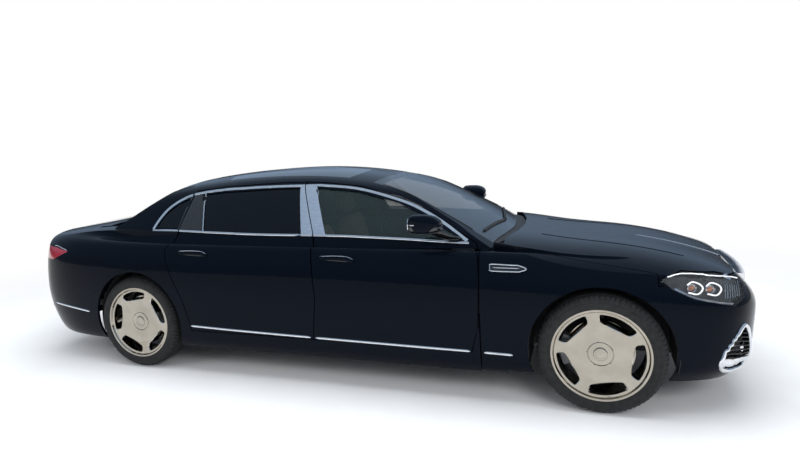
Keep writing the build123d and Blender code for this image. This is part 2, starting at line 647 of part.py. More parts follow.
def make_tyre():
    half = TYRE_WIDTH / 2
    return ring([(TYRE_RADIUS, half - 34), (TYRE_RADIUS - 22, half - 4), (TYRE_RADIUS - 62, half),
                 (RIM_SEAT + 0.3, RIM_HALF - RIM_FLANGE - 0.5), (RIM_SEAT + 0.3, -(RIM_HALF - RIM_FLANGE - 0.5)),
                 (TYRE_RADIUS - 62, -half), (TYRE_RADIUS - 22, -half + 4), (TYRE_RADIUS, -half + 34)])


tyre = make_tyre()
FRONT_SLOT, REAR_SLOT = 26.0, 62.0
for end, x, slot in (("front", FRONT_AXLE_X, FRONT_SLOT), ("rear", REAR_AXLE_X, REAR_SLOT)):
    rim = make_rim(slot)
    here = Location((x, WHEEL_Y, WHEEL_Z))
    keep(f"wheel_{end}_left", rim.moved(here))
    keep(f"wheel_{end}_right", mirrored(rim.moved(here)))
    keep(f"tyre_{end}_left", tyre.moved(here))
    keep(f"tyre_{end}_right", mirrored(tyre.moved(here)))

# ---- knuckles, axles ----------------------------------------------------------------------------------
def caliper(side_x, y, z):
    """Brake calliper round the disc's edge, held to the carrier inboard of it."""
    inner, outer = DISC_RADIUS - 62, DISC_RADIUS + 34
    body = ring([(outer, -44), (outer, 40), (inner, 40), (inner, DISC_THICKNESS / 2 + DISC_Y + CALIPER_GAP),
                 (DISC_RADIUS + CALIPER_GAP, DISC_THICKNESS / 2 + DISC_Y + CALIPER_GAP),
                 (DISC_RADIUS + CALIPER_GAP, -DISC_THICKNESS / 2 + DISC_Y - CALIPER_GAP),
                 (inner, -DISC_THICKNESS / 2 + DISC_Y - CALIPER_GAP), (inner, -44)])
    wedge = Solid.extrude(Face(Wire.make_polygon([(0, -200, 0), (side_x * 400, -200, -190),
                                                  (side_x * 400, -200, 190)], close=True)), Vector(0, 400, 0))
    return main_solid(body & wedge).moved(Location((0, y, z)))


def carrier(side_x):
    """Upright with its spindle, about the wheel centre, outboard towards +Y."""
    spindle = y_cylinder(0, 0, HUB_BORE, -60, SPINDLE_END)
    flange = y_cylinder(0, 0, 62, -62, -40)
    post = block(-26, 26, -62, -40, -176, 186)
    arm = block(min(0, side_x * 190), max(0, side_x * 190), -62, -42, -42, 42)
    return main_solid(spindle + flange + post + arm + caliper(side_x, 0, 0))


knuckle = carrier(-1)
keep("knuckle_left", knuckle.moved(Location((FRONT_AXLE_X, WHEEL_Y, WHEEL_Z))))
keep("knuckle_right", mirrored(knuckle.moved(Location((FRONT_AXLE_X, WHEEL_Y, WHEEL_Z)))))

BALL_GAP = 0.3
WING_Y = 412.0                             # inner wings of the engine bay
WING = 22.0


def front_axle_half():
    """Lower and upper links that hold the knuckle above and below, and the subframe between them."""
    x, z = FRONT_AXLE_X, WHEEL_Z
    y_pin = WHEEL_Y - KINGPIN_IN
    low_z = z - 176 - BALL_GAP
    high_z = z + 186 + BALL_GAP
    lower = top_prism([(x - 170, 330), (x - 130, 330), (x - 14, y_pin - 60), (x + 14, y_pin - 60),
                       (x + 130, 330), (x + 170, 330), (x + 26, y_pin + 10), (x - 26, y_pin + 10)],
                      low_z - 24, low_z)
    upper = top_prism([(x - 110, 400), (x - 80, 400), (x - 12, y_pin - 50), (x + 12, y_pin - 50),
                       (x + 80, 400), (x + 110, 400), (x + 22, y_pin + 8), (x - 22, y_pin + 8)],
                      high_z, high_z + 18)
    beam = block(x - 190, x + 190, -1, 345, low_z - 34, low_z + 20)
    tower = block(x - 120, x + 120, 372, WING_Y - FIT_GAP, low_z - 10, high_z + 30)
    foot = block(x - 190, x + 190, 330, 402, low_z - 34, low_z + 6)
    return lower + upper + beam + tower + foot


front_axle = both(main_solid(front_axle_half()))
keep("front_axle", front_axle)


def rear_axle_half():
    x, z = REAR_AXLE_X, WHEEL_Z
    upright = carrier(1).moved(Location((x, WHEEL_Y, z)))
    shaft = y_cylinder(x, z, 16, 90, WHEEL_Y - 61)
    case = x_cylinder(0, z - 10, 72, x - 130, x + 150) & block(x - 200, x + 200, -1, 200, 0, 800)
    link = block(x - 150, x - 110, 120, WHEEL_Y - 50, z - 176, z - 146)
    link2 = block(x + 110, x + 150, 120, WHEEL_Y - 50, z - 176, z - 146)
    tie = block(x - 150, x + 150, WHEEL_Y - 62, WHEEL_Y - 42, z - 176, z - 146)
    beam = block(x - 170, x + 170, -1, 150, z - 176, z - 90)
    post = block(x - 45, x + 45, 80, 150, z - 91, SEAT_PAN_Z - FIT_GAP)
    return upright + shaft + case + link + link2 + tie + beam + post


rear_axle = both(main_solid(rear_axle_half()))
keep("rear_axle", rear_axle)

# ---- floor, bulkheads, engine and what lies under the car ---------------------------------------------
CABIN_HALF = 820.0
FIREWALL_X = 1190.0
HEEL_X = -980.0
BULKHEAD_X = -1700.0
BOOT_Z = 500.0
BOOT_HALF = 600.0
BOOT_END_X = -2560.0
TUNNEL_HALF = 120.0
TUNNEL_Z = 420.0
f = FLOOR_THICKNESS
inside = lower_body(SIDE_WALL + FIT_GAP + 0.3, cabin_open=True) & LEFT_HALF
slab = block(HEEL_X, FIREWALL_X, -1, 1000, FLOOR_Z, FLOOR_Z + f)
slab = main_solid(slab & near(inside, slab))
rear_floor_line = ((HEEL_X, FLOOR_Z), (HEEL_X - 60, SEAT_PAN_Z), (BULKHEAD_X, SEAT_PAN_Z),
                   (BULKHEAD_X - 40, BOOT_Z), (BOOT_END_X, BOOT_Z), (BOOT_END_X, BOOT_Z + f),
                   (BULKHEAD_X - 20, BOOT_Z + f), (BULKHEAD_X, SEAT_PAN_Z + f),
                   (HEEL_X - 60 + f, SEAT_PAN_Z + f), (HEEL_X + f, FLOOR_Z + f))
rear_floor = side_prism(side_face(rear_floor_line), -1, CABIN_HALF)
rear_well = y_cylinder(REAR_AXLE_X, WHEEL_Z, ARCH_RADIUS + 12, ARCH_INNER_REAR - 12, 1100)
rear_floor = rear_floor - rear_well - block(BOOT_END_X - 1, BULKHEAD_X, BOOT_HALF, 1000, 400, 700)
tunnel = block(HEEL_X - 30, FIREWALL_X, -1, TUNNEL_HALF, FLOOR_Z, TUNNEL_Z)
tunnel_cut = block(HEEL_X - 31, FIREWALL_X + 1, -2, TUNNEL_HALF - f, 0, TUNNEL_Z - f)
floor_half = slab + rear_floor - tunnel_cut + (tunnel - tunnel_cut)
floor_pan = both(main_solid(floor_half))
keep("floor_pan", floor_pan)

LINER = 5.0


def liner(x, y_in):
    """Half-round wheel housing with its inner wall."""
    outer = y_cylinder(x, WHEEL_Z, ARCH_RADIUS + LINER, y_in - LINER, 880)
    inner = y_cylinder(x, WHEEL_Z, ARCH_RADIUS - 1, y_in, 900)
    keep_zone = block(x - 600, x + 600, 0, 900, WHEEL_Z - 60, 1000)
    shell = (outer - inner) & keep_zone
    return shell


rear_liner = liner(REAR_AXLE_X, ARCH_INNER_REAR)
front_liner = liner(FRONT_AXLE_X, ARCH_INNER_FRONT)
front_liner = front_liner - block(FRONT_AXLE_X - 300, FRONT_AXLE_X + 300, 0, ARCH_INNER_FRONT + 1, 0, 640)
rear_liner = rear_liner - block(REAR_AXLE_X - 220, REAR_AXLE_X + 220, 0, ARCH_INNER_REAR + 1, 0, 600)
panel_inside = lower_body(PANEL + FIT_GAP, cabin_open=True) & LEFT_HALF
rear_liner = main_solid(rear_liner & near(inside, rear_liner))
front_liner = main_solid(front_liner & near(panel_inside, front_liner))
keep("wheel_liners", Compound(children=[rear_liner, mirrored(rear_liner), front_liner, mirrored(front_liner)]))

pan_top = SEAT_PAN_Z + f + FIT_GAP
wall = block(BULKHEAD_X, BULKHEAD_X + 20, -740, 740, pan_top, 960)
shelf_line = ((BULKHEAD_X, 940), (BULKHEAD_X + 20, 940), (BULKHEAD_X + 20, 1030), (-1970, 1045),
              (-1970, 1027), (BULKHEAD_X, 1012))
bulkhead = wall + side_prism(side_face(shelf_line), -560, 560)
bulkhead = bulkhead - [rear_well, mirrored(rear_well)]
keep("rear_bulkhead", main_solid(bulkhead))

COWL_EDGE = ((1355, 0), (1338, 300), (1292, 560), (1238, 690), (1120, 690), (1195, 300), (1215, 0))
COWL_DEPTH = 50.0
cowl_out = lower_body(24.0) & LEFT_HALF
cowl_in = lower_body(COWL_DEPTH) & LEFT_HALF
cowl_piece = cowl_out & top_prism(closed_half(COWL_EDGE), 800, 1200)
cowl = both(main_solid(cowl_piece - near(cowl_in, cowl_piece)))
keep("cowl", cowl)
wall_half = block(FIREWALL_X, FIREWALL_X + 20, 0, CABIN_HALF - 60, FLOOR_Z, 1100)
firewall = both(main_solid(wall_half & near(lower_body(COWL_DEPTH + FIT_GAP), wall_half)))
keep("firewall", firewall)

ENGINE = (1330, 1960, -290, 290, 330, 800)
engine = block(*ENGINE)
engine = chamfer(engine.edges().filter_by(Axis.X), 60)
keep("engine", engine)
WING_LINE = ((FIREWALL_X + 20 + FIT_GAP, 300), (1400, 250), (2300, 250), (2640, 400), (2640, 640),
             (2200, 740), (1600, 790), (FIREWALL_X + 20 + FIT_GAP, 800))
wing = side_prism(side_face(WING_LINE), WING_Y, WING_Y + WING)
crash_rail = block(2400, 2900, 470, 520, 440, 540)
wing = wing + block(2400, 2520, WING_Y + 1, 480, 440, 540) + (crash_rail & near(panel_inside, crash_rail))
link_z = WHEEL_Z + 186 + BALL_GAP
wing = wing - block(FRONT_AXLE_X - 125, FRONT_AXLE_X + 125, WING_Y - 1, WING_Y + WING + 1, link_z - 8,
                    link_z + 26)
for x in (ENGINE[0] + 140, ENGINE[0] + 320):
    wing = wing + block(x - 40, x + 40, ENGINE[3] + FIT_GAP, WING_Y + 1, 430, 480)
keep("inner_wings", pair(main_solid(wing)))

TRAY = 8.0
underfloor = block(-950, 1150, -800, 800, FLOOR_Z - FIT_GAP - TRAY, FLOOR_Z - FIT_GAP)
keep("underfloor", underfloor)

silencer = block(-2330, -2060, -420, 420, 330, BOOT_Z - FIT_GAP)
tail_pipe = block(-2610, -2300, 300, 420, 330, 390)
keep("exhaust", silencer + tail_pipe + mirrored(tail_pipe))

# ---- interior -------------------------------------------------------------------------------------------
DASH_BACK = FIREWALL_X - FIT_GAP
dash_line = ((DASH_BACK, 560), (1000, 560), (905, 640), (862, 760), (868, 885), (930, 920), (1060, 922),
             (DASH_BACK, 880))
dashboard = side_prism(side_face(dash_line), -730, 730)


def seat(x, y, width):
    """Front seat: cushion, leaning back and head rest in one form."""
    cushion = side_prism(rounded_side([(x - 20, 330), (x + 470, 370), (x + 500, 480), (x + 20, 470)], 40),
                         y - width / 2, y + width / 2)
    back = side_prism(rounded_side([(x - 60, 400), (x + 90, 440), (x - 60, 1060), (x - 190, 1040)], 45),
                      y - width / 2 + 15, y + width / 2 - 15)
    head = side_prism(rounded_side([(x - 190, 1085), (x - 70, 1085), (x - 85, 1255), (x - 180, 1255)], 35),
                      y - 140, y + 140)
    stem = block(x - 150, x - 110, y - 60, y + 60, 1000, 1120)
    base = block(x + 20, x + 400, y - width / 2 + 40, y + width / 2 - 40, FLOOR_Z + f + FIT_GAP, 400)
    return main_solid(cushion + back + head + stem + base)


front_seat = seat(-80, 388, 520)
keep("front_seats", pair(front_seat))
rear_x = -1380
bench = side_prism(rounded_side([(rear_x - 60, pan_top), (rear_x + 490, pan_top), (rear_x + 520, 560),
                                 (rear_x, 560)], 30),
                   -690, 690)
rear_back = side_prism(rounded_side([(rear_x - 100, 490), (rear_x + 60, 540), (rear_x - 90, 1080),
                                     (rear_x - 240, 1070)], 40), -640, 640)
heads = [side_prism(rounded_side([(rear_x - 235, 1080), (rear_x - 110, 1080), (rear_x - 125, 1250),
                                  (rear_x - 225, 1250)], 35), y - 150, y + 150) for y in (-380, 380)]
stems = [block(rear_x - 190, rear_x - 150, y - 60, y + 60, 1040, 1110) for y in (-380, 380)]
rear_seat = bench + rear_back
for piece in heads + stems:
    rear_seat = rear_seat + piece
rear_seat = rear_seat - [rear_well, mirrored(rear_well)]
keep("rear_seat", main_solid(rear_seat))
console = side_prism(rounded_side([(850, TUNNEL_Z + FIT_GAP), (-840, TUNNEL_Z + FIT_GAP), (-840, 560),
                                   (-500, 640), (300, 640), (850, 740)], 20), -105, 105)
keep("console", console)

WHEEL_TILT = 24.0
STEER_CENTRE = (560.0, 380.0, 830.0)
STEER_RADIUS = 182.0
COLUMN_RADIUS = 24.0
rim_ring = Solid.make_torus(STEER_RADIUS, 14)
hub_disc = Solid.make_cylinder(62, 40, Plane((0, 0, -20)))
spoke = Solid.make_box(2 * STEER_RADIUS - 10, 44, 16, Plane((-STEER_RADIUS + 5, -22, -8)))
foot_spoke = Solid.make_box(30, STEER_RADIUS - 5, 16, Plane((-15, -STEER_RADIUS + 5, -8)))
steer = rim_ring + hub_disc + spoke + foot_spoke
column = Solid.make_cylinder(COLUMN_RADIUS, 330, Plane((0, 0, 19)))
steer = steer + column
steer = steer.rotate(Axis((0, 0, 0), (0, 0, 1)), 90).rotate(Axis((0, 0, 0), (0, 1, 0)), 90 + WHEEL_TILT)
steering_wheel = steer.moved(Location(STEER_CENTRE))
keep("steering_wheel", steering_wheel)
column_bore = Solid.make_cylinder(COLUMN_RADIUS + RUN_CLEARANCE, 360, Plane((0, 0, 0)))
column_bore = column_bore.rotate(Axis((0, 0, 0), (0, 1, 0)), 90 + WHEEL_TILT).moved(Location(STEER_CENTRE))
keep("dashboard", dashboard - column_bore)


# ---- mirrors, handles and wipers ---------------------------------------------------------------------
def make_mirror():
    """Door mirror with its foot, on the front door's shoulder."""
    shell = Solid.make_loft([Wire.make_polygon([(x, y, z) for x, z in pts], close=True) for y, pts in (
        (905, ((935, 1110), (800, 1102), (768, 1150), (800, 1212), (895, 1205))),
        (MIRROR_WIDTH / 2, ((945, 1125), (735, 1112), (712, 1165), (745, 1228), (885, 1238)))
    )])
    foot = side_prism(rounded_side([(1020, 1018), (860, 1005), (850, 1125), (915, 1130), (965, 1070)], 12),
                      770, 935)
    return main_solid(shell + foot)


mirror_piece = make_mirror()
mirror_piece = mirror_piece - near(lower_body(-FIT_GAP), mirror_piece)
mirror_piece = main_solid(mirror_piece - near(upper_body(-FIT_GAP), mirror_piece))
keep("mirror_left", mirror_piece)
keep("mirror_right", mirrored(mirror_piece))

BLADE_HEIGHT = 12.0
blade_strips = (((1226, 0), (1210, 0), (1128, 590), (1144, 590)), ((1226, -40), (1210, -40), (1138, -590),
                                                                (1154, -590)))
blade_shell = upper_body(-BLADE_HEIGHT) - upper_body(-FIT_GAP)
wipers = [main_solid(blade_shell & top_prism(strip, 900, 1300)) for strip in blade_strips]
keep("wipers", Compound(children=wipers))


if __name__ == "__main__":
    os.makedirs("parts", exist_ok=True)
    for name, shape in PARTS.items():
        export_step(shape, f"parts/{name}.step")
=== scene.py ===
import math

import bmesh
import bpy
from mathutils import Matrix, Vector
from mathutils.bvhtree import BVHTree


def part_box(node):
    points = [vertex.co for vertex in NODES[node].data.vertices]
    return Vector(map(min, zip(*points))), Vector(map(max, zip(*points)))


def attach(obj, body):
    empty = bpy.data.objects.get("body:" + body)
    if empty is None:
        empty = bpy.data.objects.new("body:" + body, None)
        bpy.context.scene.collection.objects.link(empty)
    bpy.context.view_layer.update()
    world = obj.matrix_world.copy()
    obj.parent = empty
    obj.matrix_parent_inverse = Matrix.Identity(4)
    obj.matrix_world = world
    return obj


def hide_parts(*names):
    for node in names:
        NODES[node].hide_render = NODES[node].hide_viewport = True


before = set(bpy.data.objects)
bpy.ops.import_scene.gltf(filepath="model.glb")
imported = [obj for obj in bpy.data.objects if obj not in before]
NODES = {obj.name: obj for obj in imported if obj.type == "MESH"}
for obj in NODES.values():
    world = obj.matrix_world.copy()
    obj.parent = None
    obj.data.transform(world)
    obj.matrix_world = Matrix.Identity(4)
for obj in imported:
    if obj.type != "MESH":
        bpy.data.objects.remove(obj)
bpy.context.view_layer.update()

ROOT = "car_body"

# ---- materials


class Nodes:
    """A node tree, with short ways to add and link its nodes."""

    def __init__(self, tree):
        self.tree = tree

    def node(self, kind, **values):
        """A new node; each value goes to the input of that name, or to a property."""
        node = self.tree.nodes.new(kind)
        for key, value in values.items():
            if key in node.inputs:
                node.inputs[key].default_value = value
            else:
                setattr(node, key, value)
        return node

    def link(self, a, b):
        self.tree.links.new(a, b)

    def joined(self, node, *sources):
        """First output of a node whose first inputs take these sources."""
        for k, source in enumerate(sources):
            self.link(source, node.inputs[k])
        return node.outputs[0]

    def math(self, operation, a, b):
        return self.joined(self.node("ShaderNodeMath", operation=operation), a, b)

    def mix(self, share, a, b):
        """Shader a where share is 0, and b where it is 1."""
        return self.joined(self.node("ShaderNodeMixShader"), share, a, b)


class Look(Nodes):
    """A node-based material: shader values set on the socket, detail from procedural nodes."""

    def __init__(self, name, **values):
        self.mat = bpy.data.materials.new(name)
        self.mat.use_nodes = True
        super().__init__(self.mat.node_tree)
        self.shader = self.tree.nodes["Principled BSDF"]
        for key, value in values.items():
            self.shader.inputs[key.replace("_", " ")].default_value = value
        self.coord = self.node("ShaderNodeTexCoord")

    def noise(self, scale, detail=3.0, rough=0.5, stretch=None):
        tex = self.node("ShaderNodeTexNoise", Scale=scale, Detail=detail, Roughness=rough)
        source = self.coord.outputs["Object"]
        if stretch:
            mapping = self.node("ShaderNodeMapping", Scale=stretch)
            self.link(source, mapping.inputs["Vector"])
            source = mapping.outputs["Vector"]
        self.link(source, tex.inputs["Vector"])
        return tex.outputs["Fac"]

    def voronoi(self, scale, feature):
        tex = self.node("ShaderNodeTexVoronoi", Scale=scale, feature=feature)
        self.link(self.coord.outputs["Object"], tex.inputs["Vector"])
        return tex.outputs["Distance"]

    def colour(self, value, stops):
        ramp = self.node("ShaderNodeValToRGB")
        for element, (place, shade) in zip(ramp.color_ramp.elements, stops):
            element.position, element.color = place, shade
        self.link(value, ramp.inputs["Fac"])
        self.link(ramp.outputs["Color"], self.shader.inputs["Base Color"])

    def roughness(self, value, low, high):
        span = self.node("ShaderNodeMapRange")
        span.inputs["To Min"].default_value = low
        span.inputs["To Max"].default_value = high
        self.link(value, span.inputs["Value"])
        self.link(span.outputs["Result"], self.shader.inputs["Roughness"])

    def bump(self, value, distance, strength):
        bump = self.node("ShaderNodeBump", Distance=distance, Strength=strength)
        self.link(value, bump.inputs["Height"])
        self.link(bump.outputs["Normal"], self.shader.inputs["Normal"])


def finish(name, colour, rough=None, bump=None, stops=(0.3, 0.7), **values):
    """A Look from textures. Each of colour, rough and bump is a pair and then its texture: dark and
    light, lowest and highest roughness, or depth in metres and strength. One number is a grey."""
    look = Look(name, **values)
    shades = [(c if isinstance(c, tuple) else (c, c, c)) + (1,) for c in colour[:2]]
    look.colour(look.noise(*colour[2:]), tuple(zip(stops, shades)))
    if rough:
        look.roughness(look.noise(*rough[2:]), *rough[:2])
    if bump:
        texture = look.voronoi if isinstance(bump[3], str) else look.noise
        look.bump(texture(*bump[2:]), *bump[:2])
    return look


def glass_look(name, tint, alpha, ior=1.5, coat=1.0):
    look = finish(name, (tint, tuple(c * 1.15 for c in tint), 3, 2), Roughness=0.02, Alpha=alpha, IOR=ior,
                  Coat_Weight=coat, Coat_Roughness=0.01)
    look.mat.surface_render_method = "DITHERED"
    return look


ALONG_Z, ALONG_X = (1, 1, 12), (1, 14, 14)         # stretches of a texture
paint = finish("paint", ((0.0016, 0.0028, 0.0055), (0.0040, 0.0070, 0.0140), 900, 2), (0.30, 0.38, 14, 2),
               (0.0002, 0.06, 160, 1), stops=(0.35, 0.75), Roughness=0.34, Metallic=0.25,
               Specular_IOR_Level=0.02, Coat_Weight=1.0, Coat_Roughness=0.012, Coat_IOR=1.13)
chrome = finish("bright_chrome", ((0.70, 0.71, 0.73), (0.80, 0.81, 0.83), 30, 2), (0.03, 0.09, 60, 2),
                Metallic=1.0, Roughness=0.05)
satin = finish("satin_metal", ((0.66, 0.68, 0.73), (0.78, 0.80, 0.85), 25, 2, 0.5, ALONG_Z),
               (0.12, 0.22, 200, 2, 0.5, (1, 1, 40)), Metallic=1.0, Roughness=0.16)
nickel = finish("warm_nickel", ((0.36, 0.325, 0.27), (0.44, 0.40, 0.34), 9, 3), (0.05, 0.12, 40, 4),
                (0.0002, 0.03, 400, 2), stops=(0.3, 0.75), Metallic=1.0, Roughness=0.10)
polished = finish("polished_nickel", ((0.66, 0.63, 0.58), (0.76, 0.73, 0.68), 9, 3), (0.03, 0.08, 40, 4),
                  stops=(0.3, 0.75), Metallic=1.0, Roughness=0.06)
rubber = finish("tyre_rubber", (0.011, 0.022, 40, 4), (0.62, 0.85, 18, 4), (0.0004, 0.25, 700, 3),
                stops=(0.3, 0.75), Roughness=0.72, Specular_IOR_Level=0.35)
black_gloss = finish("black_gloss", (0.004, 0.009, 50, 2), (0.08, 0.16, 80, 2), Roughness=0.12,
                     Coat_Weight=0.6, Coat_Roughness=0.03)
black_grain = finish("black_grain", (0.010, 0.022, 60, 3), (0.5, 0.72, 30, 3), (0.0004, 0.35, 900, "F1"),
                     Roughness=0.6)
seal = finish("seal_rubber", (0.006, 0.012, 120, 2), bump=(0.0003, 0.2, 500, 2), Roughness=0.8)
underseal = finish("underbody", (0.012, 0.030, 12, 5), bump=(0.001, 0.4, 220, 4), Roughness=0.75)
steel = finish("chassis_steel", (0.10, 0.20, 20, 5), (0.35, 0.6, 60, 4), (0.0005, 0.2, 300, 3),
               Metallic=0.85, Roughness=0.45)
alloy = finish("cast_alloy", (0.22, 0.36, 15, 5), bump=(0.0008, 0.35, 250, 4), Metallic=0.9, Roughness=0.4)
front_side_glass = glass_look("front_side_glass", (0.010, 0.020, 0.018), 0.42)
screen_glass = glass_look("screen_glass", (0.020, 0.032, 0.045), 0.55)
privacy_glass = glass_look("privacy_glass", (0.0016, 0.0026, 0.0045), 0.965, ior=1.25, coat=0.15)
roof_glass_look = glass_look("roof_glass_look", (0.002, 0.003, 0.005), 0.97)
lens_glass = glass_look("lens_glass", (0.20, 0.21, 0.22), 0.06)
red_lens = finish("red_lens", ((0.20, 0.004, 0.012), (0.42, 0.02, 0.04), 90, 2, 0.5, (1, 1, 14)), None,
                  (0.0006, 0.3, 150, 1, 0.5, (1, 1, 10)), stops=(0.35, 0.7), Roughness=0.08,
                  Coat_Weight=1.0, Coat_Roughness=0.02)
lamp_dark = finish("lamp_dark", (0.025, 0.06, 40, 3), Roughness=0.25, Metallic=0.4)
lamp_bright = finish("lamp_reflector", (0.55, 0.8, 80, 2), Metallic=1.0, Roughness=0.18)
light_guide = finish("light_guide", (0.72, 0.86, 60, 2), Roughness=0.2, Emission_Strength=0.35,
                     Emission_Color=(0.9, 0.93, 1.0, 1))
amber = finish("amber_bowl", ((0.32, 0.13, 0.07), (0.55, 0.25, 0.15), 60, 3), Roughness=0.25, Metallic=0.3)
leather = finish("seat_leather", ((0.30, 0.23, 0.17), (0.40, 0.32, 0.245), 7, 4), (0.42, 0.6, 25, 4),
                 (0.0008, 0.35, 420, "SMOOTH_F1"), Roughness=0.5, Specular_IOR_Level=0.4)
carpet = finish("carpet", (0.012, 0.035, 300, 4), bump=(0.002, 0.6, 900, 3), Roughness=0.95)
wood = finish("open_pore_wood", ((0.045, 0.022, 0.012), (0.16, 0.085, 0.045), 18, 6, 0.6, ALONG_X), None,
              (0.0005, 0.3, 90, 4, 0.5, ALONG_X), Roughness=0.35, Coat_Weight=0.4)
screen_black = finish("display", (0.004, 0.010, 10, 2), Roughness=0.08)

NODE_LOOKS = {
    "tyre": rubber, "wheel_front": nickel, "wheel_rear": nickel, "wheel_liners": underseal,
    "windshield": screen_glass, "rear_window": privacy_glass, "roof_glass": roof_glass_look,
    "quarter_windows": privacy_glass, "window_front": front_side_glass, "window_rear": privacy_glass,
    "headlamp_lenses": lens_glass, "headlamp_housings": lamp_dark, "tail_lamps": red_lens,
    "lid_lamps": red_lens, "grille": chrome, "engine": alloy, "exhaust": steel, "front_axle": steel,
    "rear_axle": steel, "knuckle": steel, "underfloor": underseal, "floor_pan": carpet,
    "inner_wings": underseal, "firewall": underseal, "rear_bulkhead": carpet, "cowl": black_grain,
    "wipers": black_grain, "dashboard": black_grain, "console": wood, "steering_wheel": black_grain,
    "front_seats": leather, "rear_seat": leather,
}
for name, obj in NODES.items():
    look = next((kind for start, kind in NODE_LOOKS.items() if name.startswith(start)), paint)
    obj.data.materials.clear()
    obj.data.materials.append(look.mat)

# ---- surfaces that the trim lies on
SIDE_ON = 0.25                  # a face turned further away than this is a cut edge, not skin
RAY_FROM = 4.0                  # rays start this far out
SLOPE_CELLS = 6                 # cells that a span takes its end slope from
FAR_CELLS = 8                   # below this span, or past this reach, a span is straight


def hermite(p, q, rise_p, rise_q, t):
    """Cubic from p to q as t goes from 0 to 1, with these slopes at its ends."""
    return ((2 * t ** 3 - 3 * t ** 2 + 1) * p + (t ** 3 - 2 * t ** 2 + t) * rise_p
            + (-2 * t ** 3 + 3 * t ** 2) * q + (t ** 3 - t ** 2) * rise_q)


class Skin:
    """Outer surface of some CAD nodes as heights over a plane, read by rays, with narrow gaps bridged."""

    def __init__(self, names, axis, sign, a_span, b_span, step=0.01, close=5):
        verts, faces = [], []
        for name in names:
            mesh = NODES[name].data
            base = len(verts)
            verts += [v.co.copy() for v in mesh.vertices]
            faces += [[base + i for i in p.vertices] for p in mesh.polygons]
        tree = BVHTree.FromPolygons(verts, faces)
        self.axis, self.sign, self.step = axis, sign, step
        self.others = [i for i in range(3) if i != axis]
        self.a0, self.b0 = a_span[0], b_span[0]
        self.na = int(round((a_span[1] - a_span[0]) / step)) + 1
        self.nb = int(round((b_span[1] - b_span[0]) / step)) + 1
        ray = self.vector(0, 0, -sign)
        self.h = []
        for i in range(self.na):
            row = []
            for j in range(self.nb):
                start = self.vector(self.a0 + i * step, self.b0 + j * step, sign * RAY_FROM)
                hit, facing = tree.ray_cast(start, ray)[:2]
                row.append(None if hit is None or abs(facing[axis]) < SIDE_ON else hit[axis] * sign)
            self.h.append(row)
        self.close(close // 2)
        for row in self.h:
            self.fill(row)
        full = [i for i in range(self.na) if self.h[i][0] is not None]
        for i in range(self.na):
            if self.h[i][0] is None:
                self.h[i] = list(self.h[min(full, key=lambda k: abs(k - i))])

    def vector(self, a, b, out):
        v = Vector((0, 0, 0))
        v[self.others[0]], v[self.others[1]], v[self.axis] = a, b, out
        return v

    def close(self, reach):
        """Bridges narrow gaps: a maximum over reach cells each way, then a minimum, along each direction."""
        for pick in (max, min):
            for flat in (True, False):
                new = [[None] * self.nb for _ in range(self.na)]
                for i in range(self.na):
                    for j in range(self.nb):
                        if flat:
                            cells = [row[j] for row in self.h[max(0, i - reach):i + reach + 1]]
                        else:
                            cells = self.h[i][max(0, j - reach):j + reach + 1]
                        cells = [c for c in cells if c is not None]
                        if cells and not (pick is min and self.h[i][j] is None):
                            new[i][j] = pick(cells)
                self.h = new

    def fill(self, row):
        """Spans places off the surface smoothly along a column, and level beyond its ends."""
        known = [j for j in range(self.nb) if row[j] is not None]
        for j in range(self.nb if known else 0):
            if row[j] is not None:
                continue
            below = [k for k in known if k < j]
            above = [k for k in known if k > j]
            if not (below and above):
                row[j] = row[below[-1]] if below else row[above[0]]
                continue
            lo, hi = below[-1], above[0]
            back = below[max(0, len(below) - SLOPE_CELLS)]
            fore = above[min(len(above), SLOPE_CELLS) - 1]
            span = hi - lo
            rise_lo = (row[lo] - row[back]) / max(1, lo - back) * span
            rise_hi = (row[fore] - row[hi]) / max(1, fore - hi) * span
            if span < FAR_CELLS or lo - back > FAR_CELLS or fore - hi > FAR_CELLS:
                rise_lo = rise_hi = row[hi] - row[lo]
            row[j] = hermite(row[lo], row[hi], rise_lo, rise_hi, (j - lo) / span)

    def height(self, a, b):
        u = min(max((a - self.a0) / self.step, 0), self.na - 1.001)
        v = min(max((b - self.b0) / self.step, 0), self.nb - 1.001)
        i, j = int(u), int(v)
        u, v = u - i, v - j
        h = self.h
        return ((h[i][j] * (1 - u) + h[i + 1][j] * u) * (1 - v)
                + (h[i][j + 1] * (1 - u) + h[i + 1][j + 1] * u) * v)

    def point(self, a, b, lift=0.0, flip=1):
        p = self.vector(a, b, self.height(a, b) * self.sign) + self.normal(a, b) * lift
        p.y *= flip
        return p

    def normal(self, a, b, reach=0.02):
        slope_a = (self.height(a + reach, b) - self.height(a - reach, b)) / (2 * reach)
        slope_b = (self.height(a, b + reach) - self.height(a, b - reach)) / (2 * reach)
        return self.vector(-slope_a, -slope_b, self.sign).normalized()


def route(points, step=0.012, closed=False, sharp=False):
    """Even points along a curve through (a, b) places: Catmull-Rom, or straight runs where sharp."""
    pts = [Vector((p[0], p[1])) for p in points]
    n = len(pts)
    out = []
    for i in range(n if closed else n - 1):
        p1, p2 = pts[i], pts[(i + 1) % n]
        p0 = pts[i - 1] if (i > 0 or closed) else p1 * 2 - p2
        p3 = pts[(i + 2) % n] if (i + 2 < n or closed) else p2 * 2 - p1
        count = max(1, int((p2 - p1).length / step))
        for k in range(count):
            t = k / count
            if sharp:
                out.append(p1.lerp(p2, t))
            else:
                out.append(0.5 * (2 * p1 + (p2 - p0) * t + (2 * p0 - 5 * p1 + 4 * p2 - p3) * t ** 2
                                  + (3 * p1 - p0 - 3 * p2 + p3) * t ** 3))
    if not closed:
        out.append(pts[-1])
    return out


# ---- ways to make a piece
SHARP_ANGLE = math.radians(38)
WELD = 1e-6


